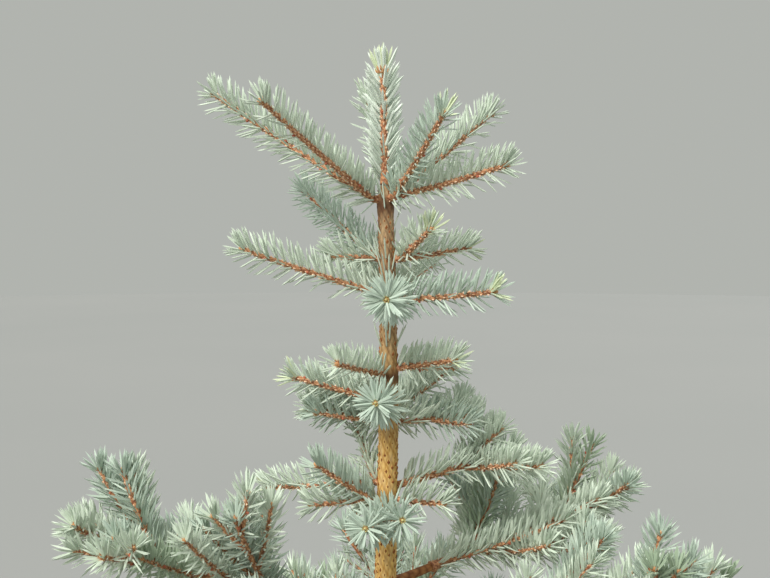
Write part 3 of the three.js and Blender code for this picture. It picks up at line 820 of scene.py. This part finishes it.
def grow_twigs(bough):
    """The twigs that the solids have, by the same rule and in the same order of chances."""
    line = bough.line
    mass = NODE_NUMBERS[bough.mass]
    start = bough.bare + CLEARANCE / line.length
    radii = (bough.tip_radius * STEM_SWELL, STEM_TIP_RADIUS)
    grow(bough.mass, line, radii, start=start, bare=STEM_BARE, kind="stem")
    chance = TwigChance(TWIG_SEEDS + bough.number)
    stem_length = line.length * (1 - start)
    forks = max(2, int(stem_length / TWIG_SPACING + 0.5))
    for fork in range(forks):
        along = (fork + FORK_PLACE + FORK_WANDER * chance.next()) / forks
        t = lerp(start, 1, along)

        def add_twig(turn, rise, share):
            reach = share * bough.fullness * stem_length * chance.between(*TWIG_SPREAD)
            length = max(SHORTEST_TWIG, reach)
            rise = line.rise + line.lift * t + rise
            twig = Line(line.at(t), line.heading + turn, rise, TWIG_LIFT, length)
            if is_clear(twig, mass, TWIG_MARGIN, LOWEST_TWIG):
                grow(bough.mass, twig, TWIG_RADII, kind="twig")

        for side in (-1, 1):
            high = (fork % 2 == 0) == (side > 0)
            turn = side * chance.between(*TWIG_TURN)
            rise = TWIG_RISE[high] + chance.between(*TWIG_WANDER)
            add_twig(turn, rise, lerp(*TWIG_SHARES, 1 - along))
        turn = chance.between(*UPPER_TWIG_TURN)
        add_twig(turn, chance.between(*UPPER_TWIG_RISE), UPPER_TWIG_SHARE)


def grow_side_shoots(parent):
    """Finer shoots to the right and left of a twig by turns, shorter towards its tip."""
    line = parent.line
    chance = TwigChance(SIDE_SHOOT_SEEDS + parent.number)
    mass = NODE_NUMBERS[parent.node]
    step = SECOND_YEAR_STEP if parent.node in SECOND_YEAR else SIDE_SHOOT_STEP
    distance = parent.bare + step * chance.between(*SIDE_SHOOT_FIRST)
    side = 1 if chance.next() < 0.5 else -1
    while distance < parent.length - SIDE_SHOOT_END:
        t = parent.t_at(distance)
        turn = side * chance.between(*SIDE_SHOOT_TURN)
        rise = line.rise + line.lift * t + chance.between(*SIDE_SHOOT_RISE)
        length = SIDE_SHOOT_REACH * (parent.length - distance) + SIDE_SHOOT_LEAST
        length = np.clip(length, *SIDE_SHOOT_LENGTHS) * chance.between(*SIDE_SHOOT_SPREAD)
        finer = Line(line.at(t), line.heading + turn, rise, TWIG_LIFT, length)
        if is_clear(finer, mass, SIDE_SHOOT_MARGIN, LOWEST_SIDE_SHOOT):
            grow(parent.node, finer, SIDE_SHOOT_RADII, bare=SIDE_SHOOT_BARE, kind="fine")
        distance += step * chance.between(*SIDE_SHOOT_WANDER) / 2
        side = -side


for bough in boughs:
    grow_twigs(bough)
for shoot in list(shoots):
    if shoot.kind in ("stem", "twig") or (shoot.node in SECOND_YEAR and shoot.kind == "side"):
        grow_side_shoots(shoot)

# The twigs' bark. First-year twigs are smooth and orange-brown between the pegs, redder in the grooves, and
# each needle stands on a peg of its own, which stays when the needle falls. The crown is made in parts, and
# in the lower ones, which are seen from further away, each needle is larger and stands for its neighbours.
FULL = (4, ((0.1, 0.85), (0.82, 0.84)))  # a needle's sides, and its rings as shares of length and width
SLIM = (3, ((0.14, 0.95), (0.72, 0.95)))
PLAIN = (3, ((0.32, 1.25),))
FOOT_SWELL = 0.35  # how a twig swells where it leaves its limb, and over how many mm that runs out
FOOT_SWELL_LENGTH = 5
TIP_SWELL = 0.15
TIP_SWELL_LENGTH = 3
SEAT_WANDER = 0.5  # how far a needle sits from its place on the spiral, as a share of the pitch
SEAT_TURN = 0.09  # and round the twig, in radians
PEG_LENGTH = 1.5
PEG_WIDTH = 0.62
PEG_HEIGHT = 1.15
PEG_SIZES = (0.8, 1.2)
TOP_PEG_PITCH = 0.7
SHOULDER_PEG_PITCH = 1.3
TWIG_COLOURS = ("#854E33", "#CC946A")
TWIG_GROOVE_SIZE = 1.9
# The pegs' pale tones are partly their dry skin and partly painted highlight.
PEG_COLOURS_WITH_HIGHLIGHT = ("#D6A57C", "#F2D8BC")
PEG_TONE_SIZE = 1.5


class CrownPart:
    """Some of the model's nodes, and how finely their twigs and needles are made."""

    def __init__(self, name, nodes, pitch, shape, size, twig_sides, twig_step):
        self.name = name
        self.nodes = nodes
        self.pitch = pitch  # along a shoot, from one needle to the next
        self.shape = shape
        self.size = size  # of a needle, to its real one
        self.twig_sides = twig_sides
        self.twig_step = twig_step

    def shoots(self):
        return [shoot for shoot in shoots if shoot.node in self.nodes]


def mass_names(first, last):
    return [f"mass_{number:02d}" for number in range(first, last + 1)]


def two_tone(name, tones, lump, roughness, detail=2, edge=None, relief=0, finish=None):
    """A material of two tones in lumps of a size in mm, rougher where it is in its second tone."""
    material = new_material(name)
    place = add_node(material, "ShaderNodeTexCoord").outputs["Object"]
    values = {"Scale": METRE / lump, "Detail": detail}
    lumps = add_node(material, "ShaderNodeTexNoise", values, {"Vector": place}).outputs[0]
    share = lumps
    if edge:
        values = {"From Min": edge[0], "From Max": edge[1]}
        share = add_node(material, "ShaderNodeMapRange", values, {"Value": lumps}).outputs[0]
    tone = add_node(
        material,
        "ShaderNodeMix",
        {COLOUR_A: linear(tones[0]), COLOUR_B: linear(tones[1])},
        {"Factor": share},
        data_type="RGBA",
    )
    values = {"To Min": roughness[0], "To Max": roughness[1]}
    rough = add_node(material, "ShaderNodeMapRange", values, {"Value": lumps})
    links = {"Base Color": tone.outputs[MIXED], "Roughness": rough.outputs[0]}
    if relief:
        values = {"Strength": 0.5, "Distance": relief / METRE}
        links["Normal"] = add_node(material, "ShaderNodeBump", values, {"Height": lumps}).outputs[0]
    shader = add_node(material, "ShaderNodeBsdfPrincipled", finish or {"IOR": CORK_IOR}, links)
    add_node(material, "ShaderNodeOutputMaterial", links={"Surface": shader.outputs[0]})
    return material


def twig_tube(shoot, part):
    """A twig that swells a little where it leaves its limb and at the bud on its tip."""
    stations = np.linspace(0, shoot.length, max(4, int(shoot.length / part.twig_step)))
    swell = 1 + FOOT_SWELL * np.exp(-stations / FOOT_SWELL_LENGTH)
    swell = swell + TIP_SWELL * np.exp((stations - shoot.length) / TIP_SWELL_LENGTH)
    radius = (shoot.radius_at(stations) * swell)[:, None]
    return closed_tube(tube_rings(shoot.line, shoot.t_at(stations), radius, part.twig_sides))


def seats(shoot, pitch):
    """Where needles sit on a shoot: how far along, and the angle round it, counted from its top."""
    number = np.arange(int(max(0, shoot.length - shoot.bare) / pitch))
    chance = np.random.default_rng(shoot.number)
    along = shoot.bare + (number + chance.uniform(0, SEAT_WANDER, len(number))) * pitch
    return along, number * GOLDEN_TURN + chance.normal(0, SEAT_TURN, len(number)), chance


def round_the_shoot(shoot, along, angle):
    """Each seat's point on the shoot's line, and unit vectors outward, ahead and to the top."""
    ahead, side, top = shoot.line.frame(shoot.t_at(along))
    outward = top * np.cos(angle)[:, None] + side * np.sin(angle)[:, None]
    return shoot.line.at(shoot.t_at(along)), outward, ahead, top


crown = (
    CrownPart("top", ["leader_shoot"] + [tier[0] for tier in TOP_TIERS], 0.54, FULL, 1, 10, 1.6),
    CrownPart("shoulder", mass_names(1, 3), 0.62, SLIM, 1.03, 6, 5),
    CrownPart("upper", mass_names(4, 7), 1.05, PLAIN, 1.12, 5, 10),
    CrownPart("middle", mass_names(8, 13), 1.75, PLAIN, 1.2, 4, 14),
    CrownPart("lower", mass_names(14, 20), 1.9, PLAIN, 1.25, 4, 14),
)
top_part, shoulder_part = crown[:2]
near_nodes = top_part.nodes + shoulder_part.nodes

# Young bark has a dull, silky skin with small folds. The pegs on it are dry and paler, and their pale tones
# are also a painted highlight, the light that catches their ridges.
twig_bark = two_tone(
    "orange_brown_twig_bark", TWIG_COLOURS, TWIG_GROOVE_SIZE, (0.5, 0.8), edge=(0.38, 0.62), relief=0.3
)
peg_bark_with_highlight = two_tone("peg_bark_with_painted_highlight", PEG_COLOURS_WITH_HIGHLIGHT, PEG_TONE_SIZE, (0.5, 0.8), edge=(0.38, 0.62), relief=0.3)
for part in crown:
    points, faces = joined([twig_tube(shoot, part) for shoot in part.shoots()])
    add_piece(f"twigs_{part.name}", points, faces, twig_bark, part.nodes, smooth=True)

pegs = []
for shoot in top_part.shoots() + shoulder_part.shoots():
    pitch = TOP_PEG_PITCH if shoot.node in top_part.nodes else SHOULDER_PEG_PITCH
    along, angle, chance = seats(shoot, pitch)
    if len(along) == 0:
        continue
    centre, outward, ahead, _ = round_the_shoot(shoot, along, angle)
    places = centre + outward * shoot.radius_at(along)[:, None]
    size = chance.uniform(*PEG_SIZES, (len(along), 1))
    across = np.cross(outward, ahead)
    points, faces = lozenges(
        places, ahead, across, outward, PEG_LENGTH * size, PEG_WIDTH * size, PEG_HEIGHT * size
    )
    pegs.append((points, faces.tolist()))
points, faces = joined(pegs)
add_piece("needle_pegs", points, faces, peg_bark_with_highlight, near_nodes, smooth=False)

# The buds. Each shoot of the top and of the nearest boughs ends in a blunt bud under dry, pale brown scales,
# whose lowest rings stand off the twig. Buds that face the viewer are smaller and greener. Small red-brown
# ones sit on the shoots' flanks here and there.
BUD_LENGTH = 4.6
BUD_RADIUS = 1.7
BUD_PROFILE = ((0, 0.6), (0.2, 0.95), (0.45, 1), (0.7, 0.75), (0.9, 0.4), (1, 0.12))
BUD_SIDES = 8
BUD_OVERLAP = 1  # how far a bud reaches back over its twig
LEADER_BUD_SIZE = 1.9
FACING_BUD_SIZE = 0.66
SHOULDER_BUD_SIZE = 0.8
BUD_SCALES = 8  # in a ring
BUD_SCALE_RINGS = ((0, 1.1), (0.5, 0.6))  # how far each ring is turned, in scales, and how it spreads
BUD_SCALE_BACK = 0.5  # how far the first ring stands behind the twig's end
BUD_SCALE_RISE = 2  # how much further on a ring stands, for each scale that it is turned
BUD_SCALE_OUT = 0.4  # how far it stands off the twig
BUD_SCALE = (2.5, 0.8, 0.6)  # half its length and width, and its thickness
SIDE_BUD_SEEDS = 700
SIDE_BUD_STEP = 34  # from one bud to the next along a shoot
SIDE_BUD_FIRST = 14
SIDE_BUD_END = 12
SIDE_BUD_WANDER = (-6, 12)
SIDE_BUD_LENGTH = 2.6
SIDE_BUD_RADIUS = 1.25
SIDE_BUD_SIDES = 6
SIDE_BUD_LEAN = 0.6
SIDE_BUD_ROOT = 0.4
BUD_TONE_SIZE = 1.2
BUD_ROUGHNESS = (0.45, 0.7)
BUD_KINDS = (  # piece, material and tones
    ("buds", "dry_bud_scale", ("#A8693C", "#DDB283")),
    ("side_buds", "red_brown_side_bud", ("#9A4630", "#C97A5C")),
    ("short_buds", "greenish_bud_scale", ("#A08C46", "#DCD69A")),
)

bud_meshes = {piece: [] for piece, *_ in BUD_KINDS}
shares, swells = np.array(BUD_PROFILE).T
for shoot in top_part.shoots() + shoulder_part.shoots():
    if shoot.kind in ("knot", "link"):
        continue
    size = 1 if shoot.node in top_part.nodes else SHOULDER_BUD_SIZE
    size = {"leader": LEADER_BUD_SIZE, "facing": FACING_BUD_SIZE}.get(shoot.kind, size)
    along = shoot.length - BUD_OVERLAP + BUD_LENGTH * size * shares
    radius = (BUD_RADIUS * size * swells)[:, None]
    own = bud_meshes["short_buds" if shoot.kind == "facing" else "buds"]
    own.append(closed_tube(tube_rings(shoot.line, shoot.t_at(along), radius, BUD_SIDES)))
    for rank, spread in BUD_SCALE_RINGS:
        angle = 2 * np.pi * (np.arange(BUD_SCALES) + rank) / BUD_SCALES
        root = np.full(BUD_SCALES, shoot.length - BUD_SCALE_BACK + BUD_SCALE_RISE * rank * size)
        centre, outward, ahead, _ = round_the_shoot(shoot, root, angle)
        places = centre + outward * (shoot.radii[1] + BUD_SCALE_OUT * size)
        leaning = unit(ahead + spread * outward)
        facing = unit(outward - spread * ahead)
        across = np.cross(outward, ahead)
        length, width, thickness = (size * measure for measure in BUD_SCALE)
        points, faces = lozenges(places, leaning, across, facing, length, width, thickness)
        own.append((points, faces.tolist()))
    chance = np.random.default_rng(SIDE_BUD_SEEDS + shoot.number)
    root = np.arange(shoot.bare + SIDE_BUD_FIRST, shoot.length - SIDE_BUD_END, SIDE_BUD_STEP)
    root = root + chance.uniform(*SIDE_BUD_WANDER)
    for mm, turn in zip(root, chance.uniform(0, 2 * np.pi, len(root))):
        centre, outward, ahead, _ = round_the_shoot(shoot, np.array([mm]), np.array([turn]))
        foot = centre[0] + outward[0] * (shoot.radius_at(mm) - SIDE_BUD_ROOT)
        x, y, z = unit(outward[0] + SIDE_BUD_LEAN * ahead[0])
        line = Line(foot, np.degrees(np.arctan2(y, x)), np.degrees(np.arcsin(z)), 0, SIDE_BUD_LENGTH)
        radius = (SIDE_BUD_RADIUS * swells)[:, None]
        bud_meshes["side_buds"].append(closed_tube(tube_rings(line, shares, radius, SIDE_BUD_SIDES)))

# Bud scales are thin and papery, with a faint gloss of resin. Their tones change from scale to scale.
for name, material_name, tones in BUD_KINDS:
    material = two_tone(material_name, tones, BUD_TONE_SIZE, BUD_ROUGHNESS)
    points, faces = joined(bud_meshes[name])
    add_piece(name, points, faces, material, near_nodes, smooth=False)

# The needles. Each is stiff, four-sided and sharp. They stand full and nearly upright on top of a shoot, are
# parted along its flanks, and sweep forward below it and round the bud, in close groups with gaps between
# them. They stand all round a shoot that faces the viewer, and a few are left on the trunk.
NEEDLE_LENGTH = 21
NEEDLE_WIDTH = 1.05  # half of it
NEEDLE_THICKNESS = 0.85  # to its width
NEEDLE_LENGTHS = (0.84, 1.06)
NEEDLE_WIDTHS = (0.88, 1.12)
NEEDLE_ROOT = 0.5
NEEDLE_MARGIN = 2
NEEDLE_PROBES = (0.55, 1)  # shares of its length at which a needle has to clear the limbs
LIMB_SHARE = 0.8  # how much of a limb's radius it has to clear
NEIGHBOURHOOD = 30  # a limb further from the roots of a shoot's needles can't touch them
NEEDLE_CURVE = (0.05, 0.35)  # how far forward a needle's end turns from the way it sets out
END_LIFT = 0.2  # and how far it turns up, to the shoot's lift
FLANK = 1.4  # the flanks that are lifted are narrower the greater this is
UNDER_LENGTH = 0.92  # of a needle below the shoot, to one above it
FOOT_LENGTH = 0.85  # of a needle at the shoot's foot, to one further out
FOOT_STRETCH = 6
WANDER = 0.035  # how unevenly needles point
LEAN_WANDER = 2.8
TWIST_WANDER = 0.25
TUFT = 13  # the stretch before the bud where needles close round it
TUFT_NEEDLES = 22  # at a pitch of TUFT_PITCH, and fewer at wider ones
TUFT_PITCH = 0.42
TUFT_THINNING = 0.8
TUFT_DEPTH = 2.5
TUFT_TURN = 0.2
TUFT_CLOSING = (0.4, 1.35)
BRUSH = 28  # needles that stand nearly straight up round the leader's bud
GROUP = 6.5  # along a shoot, from one close group of needles to the next
GROUP_PULL = 0.5  # how far they are drawn to the middle of the group, as a share
GROUP_FAN = 14  # by how much their lean changes from one end of the group to the other
HEIGHTS = (-1, -0.2, 1)  # how high on its shoot a needle sits: below it, on its flanks and on top of it
LEFT_ON_TRUNK = (1164, 1286)  # the stretch of the trunk where a few needles are left
NEEDLES_LEFT = {  # shares of needles left, by how high they sit on their shoot
    "trunk": ((-1, 1), (0.18, 0.18)),
    "leader": ((-1, 0.45, 0.8, 1), (1, 0.9, 0.12, 0.1)),
    "facing": ((-1, 1), (1, 1)),
}
LEFT_HEIGHTS = (-1, -0.5, -0.15, 0.2, 0.5, 1)
LEFT_ABOVE = (0.6, 1, 1)  # on any other shoot, at the last three of these heights
LEFT_ON_TOP_PART = (0.46, 0.38)  # below such a shoot and on its flanks, in the top part and elsewhere
LEFT_ON_MASSES = (0.75, 0.6)
LEFT_ON_SOME = {  # the same for three shoots, by node and heading
    ("tier1_left", 170): (0.9, 0.38),
    ("tier1_left", 222): (0.1, 0.34),
    ("tier2_left_back", 134): (1, 0.85),
}
NEEDLE_COLOURS = {
    "silver": ("#BBC9B8", "#D8E3D2"),
    "blue": ("#A6B8AA", "#C6D4C5"),
    "green": ("#90A48C", "#B1C1A7"),
    "cream": ("#C1CEA9", "#D9E2C1"),
    "white": ("#CFDACD", "#EAF2E8"),
}
DEALT = {  # how often a spray in each part of the crown is silver, blue or green
    "top": (0.85, 0.15, 0),
    "shoulder": (0.6, 0.35, 0.05),
    "upper": (0.45, 0.4, 0.15),
    "middle": (0.35, 0.45, 0.2),
    "lower": (0.25, 0.45, 0.3),
}
SHADED_SPRAYS = (("tier2_front", 331), ("tier4_left", 205))  # two sprays given the darker blue tones as painted shade, by node and heading
SPRAY_SEEDS = 500
NEWEST = (0.5, 1.1)  # how far into the tuft the creamy newest needles begin, from 0 to 1 at the bud
LATENESS = (0.3, 0.9, 0.5, 0.9, 0.2)  # added to that, shoot by shoot, so that some have none
WAX_PATCH = 8
WAX_ROUGHNESS = (0.32, 0.55)
WAX_FINISH = {"IOR": 1.42, "Sheen Weight": 0.12}


class Habit:
    """How needles stand on one kind of shoot."""

    def __init__(self, pitch=1, lean=(58, 55, 61), closing=24, lift=0.5, widths=(0.82, 1), tip_length=0.84):
        self.pitch = pitch  # to that of the crown's part
        self.lean = lean  # away from the shoot, at each of HEIGHTS
        self.closing = closing  # how much less they lean at the bud
        self.lift = lift  # how far they turn up towards the sky
        self.widths = widths  # below the shoot, and on the rest of it
        self.tip_length = tip_length  # of a needle at the bud, to one further back


SPREADING = Habit()
HABITS = {
    "leader": Habit(pitch=0.48, lean=(42, 42, 42), closing=38, lift=0, widths=(1.2, 1.2), tip_length=1.12),
    "facing": Habit(pitch=1.1, lean=(84, 84, 84), closing=20, lift=0, widths=(1.15, 1.15)),
    "trunk": Habit(lean=(27, 27, 27), closing=38, lift=0, widths=(0.7, 0.7)),
}


def keep_share(shoot, angle):
    """How many of the needles that sit at an angle from the shoot's top are still there."""
    if shoot.kind in NEEDLES_LEFT:
        return np.interp(np.cos(angle), *NEEDLES_LEFT[shoot.kind])
    usual = LEFT_ON_TOP_PART if shoot.node in top_part.nodes else LEFT_ON_MASSES
    below, flank = LEFT_ON_SOME.get((shoot.node, shoot.line.heading), usual)
    return np.interp(np.cos(angle), LEFT_HEIGHTS, (below, below, flank, *LEFT_ABOVE))


def tuft_size(shoot, part):
    """How many needles close round a shoot's bud."""
    count = int(TUFT_NEEDLES * (TUFT_PITCH / part.pitch) ** TUFT_THINNING)
    return {"link": 0, "knot": 0, "trunk": 0, "leader": BRUSH}.get(shoot.kind, count)


def needles_on(shoot, part):
    """The needles of a shoot: roots, the ways they set out and end, lengths, and whether they are newest."""
    habit = HABITS.get(shoot.kind, SPREADING)
    along, angle, chance = seats(shoot, part.pitch * habit.pitch)
    kept = chance.random(len(along)) < keep_share(shoot, angle)
    along = along[kept]
    angle = angle[kept]
    to_group = (along / GROUP + chance.random()) % 1 - 0.5
    if shoot.kind == "facing":
        to_group = 0 * to_group
    along = along - GROUP_PULL * GROUP * to_group

    tuft = tuft_size(shoot, part)
    to_group = np.append(to_group, np.zeros(tuft))
    along = np.append(along, shoot.length - chance.uniform(0, TUFT_DEPTH, tuft))
    angle = np.append(angle, np.arange(tuft) * GOLDEN_TURN + chance.normal(0, TUFT_TURN, tuft))
    to_tip = fade(along, shoot.length - TUFT, shoot.length) * (tuft > 0)
    count = len(along)
    height = np.cos(angle)
    centre, outward, ahead, top = round_the_shoot(shoot, along, angle)

    closing = habit.closing * to_tip * chance.uniform(*TUFT_CLOSING, count)
    lean = np.interp(height, HEIGHTS, habit.lean) - closing
    lean = np.radians(lean + chance.normal(0, LEAN_WANDER, count) + GROUP_FAN * to_group)
    up = habit.lift * np.clip(1 - np.abs(height) * FLANK, 0, 1)
    start = outward * np.sin(lean)[:, None] + ahead * np.cos(lean)[:, None] + top * up[:, None]
    start = start + np.clip(height, 0, 1)[:, None] * (0, 0, habit.lift)
    start = unit(start + chance.normal(0, WANDER, (count, 3)))
    curve = chance.uniform(*NEEDLE_CURVE, count)[:, None]
    end = unit(start + ahead * curve + (0, 0, END_LIFT * habit.lift))

    length = NEEDLE_LENGTH * part.size * lerp(UNDER_LENGTH, 1, (height + 1) / 2)
    length = length * chance.uniform(*NEEDLE_LENGTHS, count)
    length = length * lerp(FOOT_LENGTH, 1, fade(along, shoot.bare, shoot.bare + FOOT_STRETCH))
    length = length * lerp(1, habit.tip_length, to_tip)
    roots = centre + outward * (shoot.radius_at(along) - NEEDLE_ROOT)[:, None]
    width = NEEDLE_WIDTH * part.size * chance.uniform(*NEEDLE_WIDTHS, count)
    width = width * np.where(height < HEIGHTS[1], *habit.widths)
    flat = np.cross(start, outward + 0.3 * ahead)
    across = unit(flat + chance.normal(0, TWIST_WANDER, (count, 3)))
    across = unit(across - start * (across * start).sum(-1, keepdims=True))

    late = {"leader": 0, "side": LATENESS[shoot.number % len(LATENESS)]}.get(shoot.kind, 1)
    newest = to_tip > chance.uniform(*NEWEST, count) + late
    return roots, start, end, across, length, width, newest


def needle_point(roots, start, end, length, share):
    """The point of each needle at a share of its length."""
    way = start * share + (end - start) * (share * share / 2)
    return roots + way * length[:, None]


def stays(shoot, roots, start, end, length):
    """True for each needle that clears the trunk, the ground and every other limb."""
    tips = needle_point(roots, start, end, length, 1)
    fine = clear_of_trunk(tips, 1) & (tips[:, 2] > GROUND_CLEARANCE)
    low = roots.min(0) - NEIGHBOURHOOD
    high = roots.max(0) + NEIGHBOURHOOD
    foot = stretches.foot[: stretches.count]
    head = foot + stretches.along[: stretches.count]
    near = (np.maximum(foot, head) > low).all(1) & (np.minimum(foot, head) < high).all(1)
    near &= stretches.shoot[: stretches.count] != shoot.number
    which = np.flatnonzero(near)
    if len(which) == 0:
        return fine
    for share in NEEDLE_PROBES:
        away = stretches.distances(needle_point(roots, start, end, length, share), which)
        fine &= (away > stretches.radius[which] * LIMB_SHARE + NEEDLE_MARGIN).all(1)
    return fine


def spindles(roots, start, end, across, length, width, shape):
    """Closed needles as one mesh: a point in the bark, rings of the shape's sides, and a sharp tip."""
    sides, profile = shape
    angle = 2 * np.pi * np.arange(sides) / sides
    columns = [roots[:, None]]
    for share, swell in profile:
        ahead = unit(start + (end - start) * share)
        wide = unit(across - ahead * (across * ahead).sum(-1, keepdims=True))
        thick = NEEDLE_THICKNESS * np.cross(ahead, wide)
        ring = wide[:, None] * np.cos(angle)[:, None] + thick[:, None] * np.sin(angle)[:, None]
        ring = ring * (width * swell)[:, None, None]
        columns.append(needle_point(roots, start, end, length, share)[:, None] + ring)
    columns.append(needle_point(roots, start, end, length, 1)[:, None])
    points = np.concatenate(columns, axis=1)
    each = points.shape[1]
    first = each * np.arange(len(roots))[:, None, None]
    here = 1 + np.arange(sides)
    after = 1 + (np.arange(sides) + 1) % sides
    last = sides * (len(profile) - 1)
    root_fan = np.stack([0 * here, after, here], axis=-1)
    tip_fan = np.stack([last + here, last + after, 0 * here + each - 1], axis=-1)
    faces = (np.concatenate([root_fan, tip_fan]) + first).reshape(-1, 3).tolist()
    for k in range(len(profile) - 1):
        low = sides * k
        high = sides * (k + 1)
        walls = np.stack([low + here, low + after, high + after, high + here], axis=-1)
        faces += (walls + first).reshape(-1, 4).tolist()
    return points.reshape(-1, 3), faces


# Spruce wax is a powdery bloom that scatters light, so that a needle looks paler and matter than the smooth
# green under it. The leader's bloom is the whitest, and the newest needles of some top shoots are creamy.
needle_materials = {
    name: two_tone(f"waxy_{name}_needle", tones, WAX_PATCH, WAX_ROUGHNESS, detail=3, finish=WAX_FINISH)
    for name, tones in NEEDLE_COLOURS.items()
}

low, high = LEFT_ON_TRUNK
radii = (trunk_radius(low), trunk_radius(high))
Shoot("trunk", Line(trunk_at(low), 90, 90, 0, high - low), radii, bare=0, kind="trunk")
top_part.nodes.append("trunk")

for part in crown:
    sprays = {name: [] for name in NEEDLE_COLOURS}
    for shoot in part.shoots():
        *needles, newest = needles_on(shoot, part)
        roots, start, end, across, length, width = needles
        fine = stays(shoot, roots, start, end, length)
        chance = np.random.default_rng(SPRAY_SEEDS + shoot.number)
        colour = chance.choice(["silver", "blue", "green"], p=DEALT[part.name])
        # A spray that faces the viewer is dealt the darker blue tones, as painted shade.
        colour = {"facing": "blue", "leader": "white"}.get(shoot.kind, colour)
        # These two sprays are dealt the darker blue tones as painted shade.
        if (shoot.node, shoot.line.heading) in SHADED_SPRAYS:
            colour = "blue"
        sprays[colour].append([column[fine & ~newest] for column in needles])
        sprays["cream"].append([column[fine & newest] for column in needles])
    for name, needles in sprays.items():
        columns = [np.concatenate(column) for column in zip(*needles)]
        if not columns or len(columns[0]) == 0:
            continue
        points, faces = spindles(*columns, part.shape)
        piece = f"needles_{name}_{part.name}"
        add_piece(piece, points, faces, needle_materials[name], part.nodes, smooth=False)
